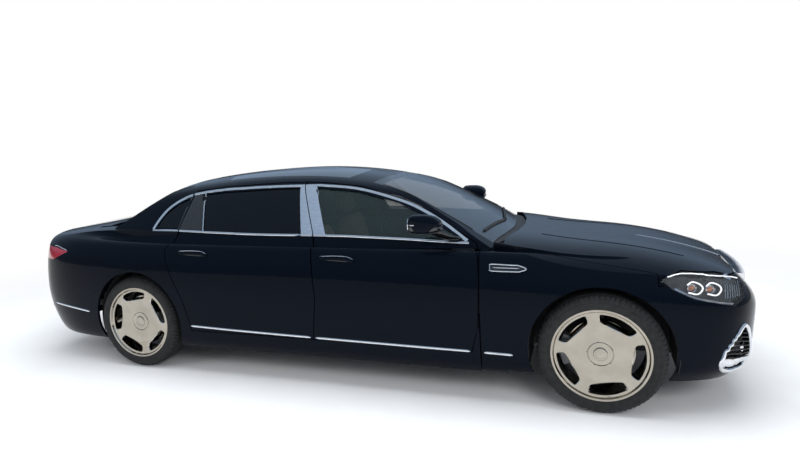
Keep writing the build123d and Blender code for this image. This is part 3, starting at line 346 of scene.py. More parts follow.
def piece(name, verts, faces, look, body):
    """A new mesh object that rides on a body."""
    mesh = bpy.data.meshes.new(name)
    mesh.from_pydata([tuple(v) for v in verts], [], faces)
    mesh.update()
    work = bmesh.new()
    work.from_mesh(mesh)
    bmesh.ops.remove_doubles(work, verts=work.verts, dist=WELD)
    bmesh.ops.recalc_face_normals(work, faces=work.faces)
    work.to_mesh(mesh)
    work.free()
    obj = bpy.data.objects.new(name, mesh)
    bpy.context.scene.collection.objects.link(obj)
    mesh.materials.append(look.mat)
    for poly in mesh.polygons:
        poly.use_smooth = True
    mesh.set_sharp_from_angle(angle=SHARP_ANGLE)
    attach(obj, body)
    return obj


def band(faces, a, b, n, closed=True):
    """Adds the faces between two rings of n points that start at a and b."""
    for k in range(n if closed else n - 1):
        after = (k + 1) % n
        faces.append((a + k, a + after, b + after, b + k))


def end_caps(faces, n, last):
    """Closes the first ring of n points, and the one that starts at last."""
    faces.append(tuple(range(n)))
    faces.append(tuple(last + k for k in reversed(range(n))))


# A strip's section from edge to edge, as shares of its width and lift
ROUND = ((-0.5, 0.0), (-0.47, 0.45), (-0.35, 0.8), (-0.12, 1.0), (0.12, 1.0), (0.35, 0.8), (0.47, 0.45),
         (0.5, 0.0))
SINK, STAND_OFF = -0.0012, 0.0002         # a strip's foot under the skin, and its edge over it
ACROSS_STEP = 0.01                        # the slope across a strip is taken over this
TIP_WIDTH = 0.25                          # of the full width, at a tapered end
EDGE_EASE = 0.0006                        # a panel's edge drops by this


def strip(name, skin, path, width, lift, look, body, flip=1, closed=False, taper=0.0):
    """A raised strip along a path on a skin. Its ends close, and taper in where asked."""
    n = len(path)
    verts, faces = [], []
    m = len(ROUND) + 2
    for i, p in enumerate(path):
        before = path[i - 1] if (i or closed) else path[i]
        after = path[(i + 1) % n] if (i + 1 < n or closed) else path[i]
        run = (after - before).normalized()
        across = Vector((-run.y, run.x))
        w = width
        if taper and not closed:
            near_end = min(i, n - 1 - i) / max(1, taper * (n - 1))
            w *= min(1.0, TIP_WIDTH + (1 - TIP_WIDTH) * math.sqrt(min(1.0, near_end)))
        normal = skin.normal(p.x, p.y)
        base = skin.point(p.x, p.y)
        side = skin.point(p.x + across.x * ACROSS_STEP, p.y + across.y * ACROSS_STEP) - base
        side = (side - normal * side.dot(normal)).normalized()
        section = [(u, h * lift + STAND_OFF) for u, h in ROUND]
        for u, h in [(-0.5, SINK)] + section + [(0.5, SINK)]:
            v = base + side * (u * w) + normal * h
            v.y *= flip
            verts.append(v)
    for i in range(n if closed else n - 1):
        band(faces, i * m, ((i + 1) % n) * m, m)
    if not closed:
        end_caps(faces, m, (n - 1) * m)
    return piece(name, verts, faces, look, body)


def along(edge, t):
    """The place at a share t of the length of a line of (a, b) places."""
    lengths = [0.0]
    for p, q in zip(edge, edge[1:]):
        lengths.append(lengths[-1] + math.dist(p, q))
    want = t * lengths[-1]
    for k in range(len(edge) - 1):
        if want <= lengths[k + 1] + 1e-9:
            s = (want - lengths[k]) / max(1e-9, lengths[k + 1] - lengths[k])
            return [edge[k][c] + (edge[k + 1][c] - edge[k][c]) * s for c in (0, 1)]
    return list(edge[-1])


def panel(name, skin, edge_a, edge_b, lift, thick, look, body, flip=1, rows=18, cols=6, crown=0.0):
    """A plate on a skin between two edge lines of (a, b) places."""
    verts, faces = [], []
    for layer in (0, 1):
        for i in range(rows + 1):
            pa, pb = along(edge_a, i / rows), along(edge_b, i / rows)
            for j in range(cols + 1):
                t = j / cols
                a, b = pa[0] + (pb[0] - pa[0]) * t, pa[1] + (pb[1] - pa[1]) * t
                rise = lift + crown * (1 - (2 * t - 1) ** 2)
                ease = EDGE_EASE if (i in (0, rows) or j in (0, cols)) else 0.0
                verts.append(skin.point(a, b, rise - (thick if layer else ease), flip))
    w = cols + 1
    size = (rows + 1) * w
    for i in range(rows):
        for j in range(cols):
            k = i * w + j
            faces.append((k, k + 1, k + w + 1, k + w))
            faces.append((size + k, size + k + w, size + k + w + 1, size + k + 1))
    loop = list(range(cols + 1)) + [i * w + cols for i in range(1, rows + 1)]
    loop += [rows * w + j for j in reversed(range(cols))] + [i * w for i in reversed(range(1, rows))]
    for k, a in enumerate(loop):
        b = loop[(k + 1) % len(loop)]
        faces.append((a, size + a, size + b, b))
    return piece(name, verts, faces, look, body)


def turned(name, profile, centre, look, body, segments, flip):
    """A solid of revolution about a Y line through centre, from (radius, y) places; flip mirrors it."""
    verts, faces = [], []
    n = len(profile)
    x, y_mid, z = centre
    for s in range(segments):
        t = 2 * math.pi * s / segments
        verts += [Vector((x + r * math.cos(t), flip * (y_mid + y), z + r * math.sin(t))) for r, y in profile]
        band(faces, s * n, ((s + 1) % segments) * n, n, closed=False)
    return piece(name, verts, faces, look, body)


def loft(name, rings, look, body, levels=0):
    """A closed skin through rings of the same count of points."""
    n = len(rings[0])
    verts = [Vector(v) for ring in rings for v in ring]
    faces = []
    for i in range(len(rings) - 1):
        band(faces, i * n, (i + 1) * n, n)
    end_caps(faces, n, (len(rings) - 1) * n)
    obj = piece(name, verts, faces, look, body)
    if levels:
        sub = obj.modifiers.new("smooth", "SUBSURF")
        sub.levels = sub.render_levels = levels
    return obj


def oval(count, half_a, half_b, power_neg=2.0, power_pos=2.0):
    """Superellipse places (a, b); its negative and positive halves may be squarer."""
    out = []
    for k in range(count):
        t = 2 * math.pi * k / count
        c, d = math.cos(t), math.sin(t)
        power = 2 / (power_neg if c < 0 else power_pos)
        out.append((math.copysign(abs(c) ** power, c) * half_a, math.copysign(abs(d) ** power, d) * half_b))
    return out


def flipped(points, flip):
    return [(p[0], p[1] * flip, p[2]) for p in points]


def cut(path, low, high):
    return [p for p in path if low <= p.x <= high]


SIDES = (("left", 1), ("right", -1))
SIDE_NODES = [n for n in NODES if n.endswith("_left") and n.split("_")[0] in ("door", "body", "fender")]
side_skin = Skin(SIDE_NODES + ["front_bumper", "rear_bumper", "roof"], 1, 1, (-2.72, 2.70), (0.20, 1.46))

# ---- chrome round the side windows, belt and B-pillar covers
# Outlines in the side view, metres, the same as the door and window outlines of the CAD
SPLIT_TOP_X, SPLIT_BELT_X = -0.146, -0.024        # shut line between the doors, at the roof and the belt
SPLIT_GAP = 0.0035
TRIM_GAP = 0.002
TRIM_TOP = ((-1.447, 1.098), (-1.405, 1.176), (-1.338, 1.254), (-1.235, 1.318), (-1.105, 1.362),
            (-0.843, 1.391), (-0.50, 1.404), (-0.150, 1.408))
TRIM_TOP_FRONT = ((-0.142, 1.408), (0.010, 1.403), (0.279, 1.372), (0.591, 1.287), (0.769, 1.212),
                  (0.940, 1.116), (1.065, 1.033))
BELT_REAR = ((-1.447, 1.090), (-1.250, 1.091), (-0.975, 1.083), (-0.485, 1.070), (-0.030, 1.066))
BELT_FRONT = ((-0.021, 1.066), (0.25, 1.062), (0.623, 1.045), (0.900, 1.028), (1.075, 1.020))
REAR_DOOR_TOP_X = -1.125                          # where the rear shut line crosses the trim
BELT_SPLIT = (-1.196, -1.190)                     # ends of the belt trim on either side of that line
PATH_START, PATH_END = -2, 0                      # further than either end of the rear trim
SILL = ((-1.029, 0.377), (-0.60, 0.364), (-0.018, 0.352), (0.60, 0.345), (1.096, 0.340), (1.350, 0.334))
VENT = ((1.222, 0.878), (1.222, 0.900), (1.231, 0.909), (1.36, 0.904), (1.395, 0.902), (1.440, 0.884),
        (1.405, 0.868), (1.36, 0.866), (1.231, 0.869))
TRIM_WIDTH, BELT_WIDTH, TRIM_LIFT = 0.024, 0.017, 0.005

top_path, belt = route(TRIM_TOP), route(BELT_REAR)
for side, flip in SIDES:
    rear_door, front_door = f"door_rear_{side}", f"door_front_{side}"
    for name, path, width, body in (
            ("window_trim_quarter", cut(top_path, PATH_START, REAR_DOOR_TOP_X - TRIM_GAP), TRIM_WIDTH, ROOT),
            ("window_trim_rear", cut(top_path, REAR_DOOR_TOP_X + TRIM_GAP, PATH_END), TRIM_WIDTH, rear_door),
            ("window_trim_front", route(TRIM_TOP_FRONT), TRIM_WIDTH, front_door),
            ("belt_trim_quarter", cut(belt, PATH_START, BELT_SPLIT[0]), BELT_WIDTH, ROOT),
            ("belt_trim_rear", cut(belt, BELT_SPLIT[1], PATH_END), BELT_WIDTH, rear_door),
            ("belt_trim_front", route(BELT_FRONT), BELT_WIDTH, front_door)):
        strip(f"{name}_{side}", side_skin, path, width, TRIM_LIFT, chrome, body, flip)
    for name, edge_a, edge_b, lift, thick, look, body, crown in (
            ("pillar_cover_rear", ((-0.182, 1.398), (-0.118, 1.072)),
             ((SPLIT_TOP_X - SPLIT_GAP, 1.400), (SPLIT_BELT_X - SPLIT_GAP, 1.072)),
             0.004, 0.004, satin, rear_door, 0.001),
            ("pillar_cover_front", ((SPLIT_TOP_X + SPLIT_GAP, 1.400), (SPLIT_BELT_X + SPLIT_GAP, 1.072)),
             ((-0.052, 1.398), (0.071, 1.071)), 0.004, 0.004, satin, front_door, 0.001),
            ("divider_cover", ((-1.113, 1.350), (-1.190, 1.098)), ((-1.022, 1.360), (-0.968, 1.090)),
             0.0012, 0.003, black_gloss, rear_door, 0.0),
            ("quarter_cover", ((-1.150, 1.338), (-1.207, 1.098)), ((-1.130, 1.346), (-1.199, 1.098)),
             0.0012, 0.003, black_gloss, ROOT, 0.0)):
        panel(f"{name}_{side}", side_skin, edge_a, edge_b, lift, thick, look, body, flip, crown=crown)
    divider = route(((-1.016, 1.366), (-0.962, 1.090)), sharp=True)
    strip(f"window_divider_{side}", side_skin, divider, 0.010, 0.004, chrome, rear_door, flip)

    # sill, handles and the vent behind the front wheel
    for part, low, high, body in (("rear", -1.03, -0.020, rear_door), ("front", -0.003, 1.092, front_door),
                                  ("fender", 1.164, 1.352, ROOT)):
        strip(f"sill_trim_{part}_{side}", side_skin, cut(route(SILL), low, high), 0.017, 0.006, chrome, body,
              flip, taper=0.02)
    for part, x, z, body in (("rear", -0.975, 0.948, rear_door), ("front", 0.193, 0.930, front_door)):
        grip = route(((x - 0.125, z - 0.004), (x - 0.02, z), (x + 0.075, z - 0.004), (x + 0.125, z - 0.022)))
        # a thin black gloss strip just under each grip: painted shadow where the grip's shade falls
        shadow_path = route(((x - 0.118, z - 0.014), (x, z - 0.020), (x + 0.09, z - 0.024)))
        for name, path, rise, width, lift, look, taper in (
                ("handle", grip, -0.006, 0.026, 0.012, paint, 0.12),
                ("handle_line", grip, 0.008, 0.010, 0.0145, chrome, 0.06),
                ("handle_shadow", shadow_path, 0.0, 0.010, 0.0035, black_gloss, 0.2)):
            strip(f"{name}_{part}_{side}", side_skin, [p + Vector((0, rise)) for p in path], width, lift,
                  look, body, flip, taper=taper)
    strip(f"vent_frame_{side}", side_skin, route(VENT, 0.006, closed=True), 0.008, 0.006, chrome, ROOT, flip,
          closed=True)
    panel(f"vent_plate_{side}", side_skin, ((1.224, 0.873), (1.38, 0.868), (1.436, 0.884)),
          ((1.224, 0.904), (1.38, 0.902), (1.437, 0.885)), 0.0015, 0.003, black_gloss, ROOT, flip, 14, 4)
    strip(f"vent_blade_{side}", side_skin, route(((1.236, 0.8885), (1.40, 0.886))), 0.006, 0.005, satin, ROOT,
          flip, taper=0.1)

# ---- wheels
WHEEL_CENTRES = {}
for end in ("front", "rear"):
    lo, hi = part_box(f"tyre_{end}_left")
    WHEEL_CENTRES[end] = tuple((a + b) / 2 for a, b in zip(lo, hi))
TREAD_BLOCKS = 76
STEPS_PER_BLOCK = 5                       # the first step of each block is its groove
GROOVE_SKEW, SKEW_FROM, SKEW_OVER = 0.012, 0.07, 0.05
# (radius, y, depth of the grooves across) from the bead to the middle of the tread
TYRE_HALF = ((0.2686, 0.1135, 0), (0.2760, 0.1175, 0), (0.2850, 0.1225, 0), (0.2880, 0.1222, 0),
             (0.2900, 0.1240, 0), (0.3080, 0.1268, 0), (0.3230, 0.1268, 0), (0.3245, 0.1252, 0),
             (0.3262, 0.1262, 0), (0.3390, 0.1222, 0), (0.3400, 0.1210, 0.0035), (0.3490, 0.1150, 0.005),
             (0.3565, 0.1060, 0.006), (0.3620, 0.0950, 0.006), (0.3650, 0.0830, 0.006),
             (0.3662, 0.0740, 0.005), (0.3664, 0.0730, 0), (0.3594, 0.0715, 0), (0.3594, 0.0625, 0),
             (0.3672, 0.0610, 0), (0.3678, 0.0450, 0), (0.3683, 0.0290, 0), (0.3613, 0.0275, 0),
             (0.3613, 0.0185, 0), (0.3684, 0.0170, 0))


def make_tyre(name, end, flip, body):
    """A tyre with round grooves, and shoulder blocks between grooves across."""
    cx, cy, cz = WHEEL_CENTRES[end]
    profile = TYRE_HALF + tuple((r, -y, g) for r, y, g in reversed(TYRE_HALF))
    verts, faces = [], []
    n = len(profile)
    count = TREAD_BLOCKS * STEPS_PER_BLOCK
    for s in range(count):
        for r, y, groove in profile:
            a = 2 * math.pi * s / count
            if groove:
                a += GROOVE_SKEW * (abs(y) - SKEW_FROM) / SKEW_OVER
            if s % STEPS_PER_BLOCK == 0:
                r -= groove
            verts.append(Vector((cx + r * math.cos(a), flip * (cy + y), cz + r * math.sin(a))))
        band(faces, s * n, ((s + 1) % count) * n, n)
    return piece(name, verts, faces, rubber, body)


SPOKES = 5
RIM_R = 0.282
SLOT_OUTER, SLOT_INNER = 0.890 * RIM_R, 0.640 * RIM_R
SLOT_HALF = math.radians(26.5)
SLOT_TAPER = 0.80                         # inner width of a slot over its outer width
SLOT_ROUNDING = 10                        # passes that round its corners
SLOT_STEPS = 96
SLOT_LIP = 0.0065                         # width of the chamfer round a slot
# rows of the dish from inside a slot outwards: share of the chamfer, share of the way out, and depth
DISH_ROWS = ((0, 0, -0.034), (0, 0, -0.010), (0.0022 / SLOT_LIP, 0, -0.00318),
             (0.0045 / SLOT_LIP, 0, -0.0018), (1, 0, 0), (1, 0.25, 0), (1, 0.6, 0), (1, 1, 0))
CHAMFER_DEPTH = 0.0004                    # faces deeper than this are polished
RING_R, BEND_R, DISH_EDGE = 0.074, 0.160, 0.2668
RING_Y, BEND_Y, EDGE_Y = 0.0860, 0.0905, 0.1075


def dish_height(r):
    """Outboard height of the dish's face over the wheel's middle plane."""
    if r > BEND_R:
        return BEND_Y + (EDGE_Y - BEND_Y) * (r - BEND_R) / (DISH_EDGE - BEND_R)
    return RING_Y + (BEND_Y - RING_Y) * max(0.0, (r - RING_R) / (BEND_R - RING_R))


def slot_ray(k):
    a = 2 * math.pi * (k + 0.5) / SLOT_STEPS
    return Vector((math.sin(a), math.cos(a)))


def slot_loop():
    """Middle and rounded outline of one slot, as (across, outward) places on even rays."""
    out_x = SLOT_OUTER * math.sin(SLOT_HALF)
    out_y = SLOT_OUTER * math.cos(SLOT_HALF)
    in_x = out_x * SLOT_TAPER
    raw = []
    for k in range(41):
        a = -SLOT_HALF + 2 * SLOT_HALF * k / 40
        raw.append(Vector((SLOT_OUTER * math.sin(a), SLOT_OUTER * math.cos(a))))
    corners = [Vector(p) for p in ((out_x, out_y), (in_x, SLOT_INNER), (-in_x, SLOT_INNER), (-out_x, out_y))]
    for p, q, steps, run in zip(corners, corners[1:], (12, 30, 12), (range(1, 12), range(31), range(1, 12))):
        raw += [p.lerp(q, k / steps) for k in run]
    for _ in range(SLOT_ROUNDING):
        raw = [(raw[i - 1] + raw[i] * 2 + raw[(i + 1) % len(raw)]) / 4 for i in range(len(raw))]
    middle = Vector((0, (SLOT_OUTER + SLOT_INNER) / 2))
    loop = []
    for k in range(SLOT_STEPS):
        ray = slot_ray(k)
        reach = []
        for i in range(len(raw)):
            p, q = raw[i] - middle, raw[(i + 1) % len(raw)] - middle
            d = q - p
            det = ray.y * d.x - ray.x * d.y
            if abs(det) > 1e-12:
                s = (p.y * d.x - p.x * d.y) / det
                u = (ray.x * p.y - ray.y * p.x) / det
                if s > 0 and -1e-6 <= u <= 1 + 1e-6:
                    reach.append(s)
        loop.append(middle + ray * max(reach))
    return middle, loop


def sector_edge(middle, direction):
    """Where a ray from the slot's middle leaves its sector of the dish: side lines, rim or centre ring."""
    half = math.pi / SPOKES
    b = middle.dot(direction)
    c = middle.dot(middle)
    ways = [-b + math.sqrt(b * b - c + DISH_EDGE ** 2)]
    for sign in (1, -1):
        side_line = Vector((math.cos(half) * sign, -math.sin(half)))
        if direction.dot(side_line) > 1e-9:
            ways.append(-middle.dot(side_line) / direction.dot(side_line))
    disc = b * b - c + RING_R ** 2
    if disc > 0 and -b - math.sqrt(disc) > 0:
        ways.append(-b - math.sqrt(disc))
    return middle + direction * min(ways)


def make_dish(name, end, flip, body, first):
    """The dished face with its slots; first is the angle of the first slot."""
    cx, cy, cz = WHEEL_CENTRES[end]
    middle, loop = slot_loop()
    verts, faces = [], []
    for s in range(SPOKES):
        turn = first + 2 * math.pi * s / SPOKES
        base = len(verts)
        for lip_share, out_share, depth in DISH_ROWS:
            for k in range(SLOT_STEPS):
                ray = slot_ray(k)
                out = sector_edge(middle, ray)
                lip = min(SLOT_LIP, (out - loop[k]).length * 0.4)
                p = (loop[k] + ray * (lip * lip_share)).lerp(out, out_share)
                y = dish_height(p.length) + depth
                angle = turn + math.atan2(p.x, p.y)
                verts.append(Vector((cx + p.length * math.sin(angle), flip * (cy + y),
                                     cz + p.length * math.cos(angle))))
        for i in range(len(DISH_ROWS) - 1):
            band(faces, base + i * SLOT_STEPS, base + (i + 1) * SLOT_STEPS, SLOT_STEPS)
    obj = piece(name, verts, faces, nickel, body)
    obj.data.materials.append(polished.mat)
    for poly in obj.data.polygons:
        r = math.hypot(poly.center.x - cx, poly.center.z - cz)
        if dish_height(r) - (abs(poly.center.y) - abs(cy)) > CHAMFER_DEPTH:
            poly.material_index = 1


# (radius, y) profiles
RIM_LIP = ((0.2660, 0.1060), (0.2668, 0.1085), (0.2690, 0.1120), (0.2730, 0.1160), (0.2765, 0.1195),
           (0.2790, 0.1206), (0.2812, 0.1204), (0.2822, 0.1190), (0.2818, 0.1165), (0.2780, 0.1150),
           (0.2700, 0.1140), (0.2655, 0.1100))
CENTRE = ((0.0735, 0.0840), (0.0745, 0.0862), (0.0735, 0.0888), (0.0715, 0.0900), (0.0690, 0.0895),
          (0.0680, 0.0880), (0.0560, 0.0876), (0.0430, 0.0878), (0.0405, 0.0884), (0.0398, 0.0905),
          (0.0380, 0.0925), (0.0350, 0.0933), (0.0300, 0.0930), (0.0270, 0.0926), (0.0262, 0.0912),
          (0.0150, 0.0916), (0.0001, 0.0920))
for end, first in (("front", math.radians(26.0)), ("rear", math.radians(62.0))):
    for side, flip in SIDES:
        body = f"wheel_{end}_{side}"
        tyre = make_tyre(f"tyre_tread_{end}_{side}", end, flip, body)
        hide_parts(f"tyre_{end}_{side}")
        make_dish(f"wheel_dish_{end}_{side}", end, flip, body, first)
        turned(f"rim_lip_{end}_{side}", RIM_LIP, WHEEL_CENTRES[end], polished, body, 128, flip)
        turned(f"wheel_centre_{end}_{side}", CENTRE, WHEEL_CENTRES[end], nickel, body, 96, flip)

# ---- mirrors
# sections of the shell and the foot: y, middle x and z, half length and half height
MIRROR_SECTIONS = ((0.898, 0.862, 1.150, 0.030, 0.028), (0.903, 0.860, 1.152, 0.058, 0.046),
                   (0.918, 0.850, 1.158, 0.085, 0.058), (0.950, 0.838, 1.166, 0.100, 0.064),
                   (0.990, 0.832, 1.172, 0.106, 0.065), (1.020, 0.832, 1.175, 0.103, 0.061),
                   (1.040, 0.836, 1.177, 0.092, 0.052), (1.0505, 0.842, 1.178, 0.068, 0.036),
                   (1.0538, 0.846, 1.178, 0.034, 0.016))
MIRROR_FOOT = ((0.770, 1.000, 1.046, 0.030, 0.016), (0.815, 0.975, 1.052, 0.045, 0.016),
               (0.862, 0.925, 1.074, 0.050, 0.017), (0.900, 0.885, 1.104, 0.048, 0.018),
               (0.935, 0.862, 1.118, 0.045, 0.016))
MIRROR_GLASS = (0.727, 0.976, 1.171)      # its middle; each of its rings is an offset and two half sizes
GLASS_RINGS = ((0.004, 0.050, 0.040), (0.0, 0.050, 0.040), (-0.001, 0.048, 0.038))


def section(y, x, z, half_x, half_z, count, power_neg, power_pos, flip):
    """A ring in a plane of constant y."""
    return flipped([(x + a, y, z + b) for a, b in oval(count, half_x, half_z, power_neg, power_pos)], flip)


for side, flip in SIDES:
    body = f"door_front_{side}"
    rings = [section(*place, 32, 4.5, 2.1, flip) for place in MIRROR_SECTIONS]
    shell = loft(f"mirror_shell_{side}", rings, paint, body, levels=1)
    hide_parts(f"mirror_{side}")
    rings = [section(y, x, z - 0.45 * hz, hx * 1.015, hz * 0.50, 24, 4.0, 2.2, flip)
             for y, x, z, hx, hz in MIRROR_SECTIONS[1:-1]]
    loft(f"mirror_base_{side}", rings, black_gloss, body, levels=1)
    rings = [section(y + 0.0012, x - hx * 0.42, z - 0.004, hx * 0.63, 0.0060, 16, 3, 3, flip)
             for y, x, z, hx, hz in MIRROR_SECTIONS[4:8]]
    loft(f"mirror_lamp_{side}", rings, lamp_bright, body, levels=1)
    x, y, z = MIRROR_GLASS
    glass = [flipped([(x + d, y + a, z + b) for a, b in oval(28, w, h, 3.4, 3.4)], flip)
             for d, w, h in GLASS_RINGS]
    loft(f"mirror_glass_{side}", glass, chrome, body)
    rings = [section(*place, 20, 2.4, 2.4, flip) for place in MIRROR_FOOT]
    loft(f"mirror_foot_{side}", rings, black_gloss, body, levels=1)

# ---- headlamps
lamp_skin = Skin(["headlamp_lenses"], 1, 1, (2.17, 2.65), (0.64, 0.87), step=0.008, close=3)
LAMP_BACK_TOP = ((2.205, 0.832), (2.290, 0.850), (2.470, 0.826), (2.600, 0.790), (2.628, 0.765))
LAMP_BACK_LOW = ((2.205, 0.800), (2.290, 0.752), (2.400, 0.712), (2.540, 0.676), (2.628, 0.700))
LAMP_BROW = ((2.215, 0.840), (2.290, 0.852), (2.470, 0.829), (2.605, 0.790))
LAMP_SILL = ((2.250, 0.775), (2.356, 0.722), (2.470, 0.692), (2.560, 0.674))
PROJECTORS = ((2.352, 0.774), (2.452, 0.762))           # middle x and z
PROJECTOR_R, PROJECTOR_DEPTH, PROJECTOR_SQUASH = 0.031, 0.010, 0.86
AMBER_SHARE = 0.72                                      # of the radius: the bowl inside is amber
# (depth, share of the radius) from the back round the rim to the lens
PROJECTOR_RINGS = ((-0.022, 1), (-0.004, 1), (0.0, 0.94), (-0.003, 0.84), (-0.010, 0.78), (-0.006, 0.60),
                   (-0.0015, 0.36), (0.0, 0.1))
BRACKET = ((-0.034, 0.020), (-0.006, 0.034), (0.034, 0.018), (0.046, -0.006), (0.018, -0.032), (-0.030,
                                                                                                -0.022))
LAMP_AWAY = Vector((0.45, 0.89, 0.0))                   # the way the projectors look
LAMP_ACROSS = Vector((LAMP_AWAY.y, -LAMP_AWAY.x, 0))


def projector(name, base, flip):
    rings = []
    for depth, share in PROJECTOR_RINGS:
        ring = []
        for m in range(32):
            t = 2 * math.pi * m / 32
            r = PROJECTOR_R * share
            v = base + LAMP_ACROSS * (r * math.cos(t)) + Vector((0, 0, r * PROJECTOR_SQUASH * math.sin(t)))
            ring.append(v + LAMP_AWAY * (depth - PROJECTOR_DEPTH))
        rings.append(flipped(ring, flip))
    unit = loft(name, rings, lamp_bright, ROOT)
    unit.data.materials.append(amber.mat)
    middle = Vector((base.x, base.y * flip, base.z))
    for poly in unit.data.polygons:
        if (poly.center - middle).length < PROJECTOR_R * AMBER_SHARE:
            poly.material_index = 1
    return unit


for side, flip in SIDES:
    back = panel(f"headlamp_bowl_{side}", lamp_skin, LAMP_BACK_TOP, LAMP_BACK_LOW, -0.034, 0.006, lamp_dark,
                 ROOT, flip, 24, 8)
    if flip > 0:
        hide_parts("headlamp_housings")
    strip(f"headlamp_brow_{side}", lamp_skin, route(LAMP_BROW), 0.007, -0.006, light_guide, ROOT, flip)
    strip(f"headlamp_sill_{side}", lamp_skin, route(LAMP_SILL), 0.010, -0.010, satin, ROOT, flip)
    for k, (x, z) in enumerate(PROJECTORS):
        unit = projector(f"projector_{k + 1}_{side}", lamp_skin.point(x, z, -0.012), flip)
        strip(f"light_bracket_{k + 1}_{side}", lamp_skin, route([(x + a, z + b) for a, b in BRACKET], 0.006),
              0.0085, -0.0075, light_guide, ROOT, flip)
    for k in range(7):
        x = 2.515 + 0.014 * k
        strip(f"lamp_fin_{k + 1}_{side}", lamp_skin, route(((x, 0.708), (x + 0.006, 0.778)), sharp=True),
              0.005, -0.016, lamp_bright, ROOT, flip)

# ---- front corner intakes, seen from the front as (across, up)
nose_skin = Skin(["front_bumper", "grille", "fender_left", "hood", "headlamp_lenses"], 0, 1, (0.0, 0.93),
                 (0.20, 0.92))
INTAKE = ((0.548, 0.258), (0.650, 0.250), (0.730, 0.262), (0.768, 0.312), (0.766, 0.372), (0.742, 0.450),
          (0.692, 0.535), (0.600, 0.400))                # the opening, from its foot
INTAKE_IN = ((0.535, 0.240), (0.560, 0.36), (0.640, 0.500), (0.690, 0.545))
INTAKE_OUT = ((0.735, 0.245), (0.785, 0.330), (0.760, 0.450), (0.700, 0.548))
INTAKE_BARS, BARS_LOW, BARS_HEIGHT = 9, 0.285, 0.235
BAR_IN, BAR_IN_LEAN = 0.555, 0.115               # inner ends at the foot, and how much further out on top
BAR_OUT, BAR_OUT_LEAN = 0.762, 0.055             # outer ends, and how fast they come in above a height
LEAN_FROM, LEAN_OVER = 0.36, 0.16
BAR_DIP, BAR_TIP = 0.006, 0.010                  # the inner end hangs by this, the outer one rises
PLATE_LOW = ((0.575, 0.262), (0.660, 0.254), (0.735, 0.270))
PLATE_HIGH = ((0.590, 0.330), (0.680, 0.318), (0.752, 0.330))
for side, flip in SIDES:
    strip(f"intake_frame_{side}", nose_skin, route(INTAKE, 0.010, closed=True), 0.026, 0.010, chrome, ROOT,
          flip, closed=True)
    panel(f"intake_back_{side}", nose_skin, INTAKE_IN, INTAKE_OUT, -0.050, 0.004, black_grain, ROOT, flip,
          16, 8)
    for k in range(INTAKE_BARS):
        z = BARS_LOW + BARS_HEIGHT * (k + 0.5) / INTAKE_BARS
        inner = BAR_IN + BAR_IN_LEAN * max(0.0, (z - BARS_LOW) / BARS_HEIGHT)
        outer = BAR_OUT - BAR_OUT_LEAN * max(0.0, (z - LEAN_FROM) / LEAN_OVER)
        bar = route(((inner, z - BAR_DIP), (outer, z + BAR_TIP)), sharp=True)
        strip(f"intake_bar_{k + 1}_{side}", nose_skin, bar, 0.0075, -0.016, lamp_dark, ROOT, flip)
    panel(f"intake_plate_{side}", nose_skin, PLATE_LOW, PLATE_HIGH, -0.004, 0.006, chrome, ROOT, flip, 18, 8,
          0.006)

# ---- behind the grille, and the lower intake
both_skin = Skin(["front_bumper", "grille", "hood"], 0, 1, (-0.60, 0.60), (0.20, 0.92), close=7)
panel("grille_back", both_skin, ((-0.40, 0.775), (0.40, 0.775)), ((-0.385, 0.385), (0.385, 0.385)), -0.085,
      0.004, black_grain, ROOT, rows=20, cols=10)
panel("lower_intake_back", both_skin, ((-0.45, 0.322), (0.45, 0.322)), ((-0.46, 0.235), (0.46, 0.235)),
      -0.040, 0.004, black_grain, ROOT, rows=20, cols=4)
for k, z in enumerate((0.262, 0.284, 0.306)):
    strip(f"lower_intake_bar_{k + 1}", both_skin, route(((-0.46, z), (0.46, z)), 0.03, sharp=True), 0.006,
          -0.012, lamp_dark, ROOT)

# ---- seats: padded cushions with sewn channels
CHANNEL_DEPTH, CHANNEL_WIDTH = 0.006, 0.30       # the width is a share of the channels' spacing
SEAM_DEPTH, SEAM_AT, SEAM_WIDTH = 0.008, 0.76, 0.06
FACE_FROM = 0.2                                  # seams are on the face, above this share of the thickness
CHANNELS_TO, CHANNELS_ALONG = 0.72, 0.9          # the channels' reach across and along, as shares
END_POWER, END_WIDTH, END_THICK = 6, 0.86, 0.30  # squareness of a pad's ends, and their size as shares
WAIST = 0.035                                    # how much a pad draws in along its sides
EDGE_POWER, FACE_POWER = 0.45, 0.55              # below 1, the section is squarer than an ellipse


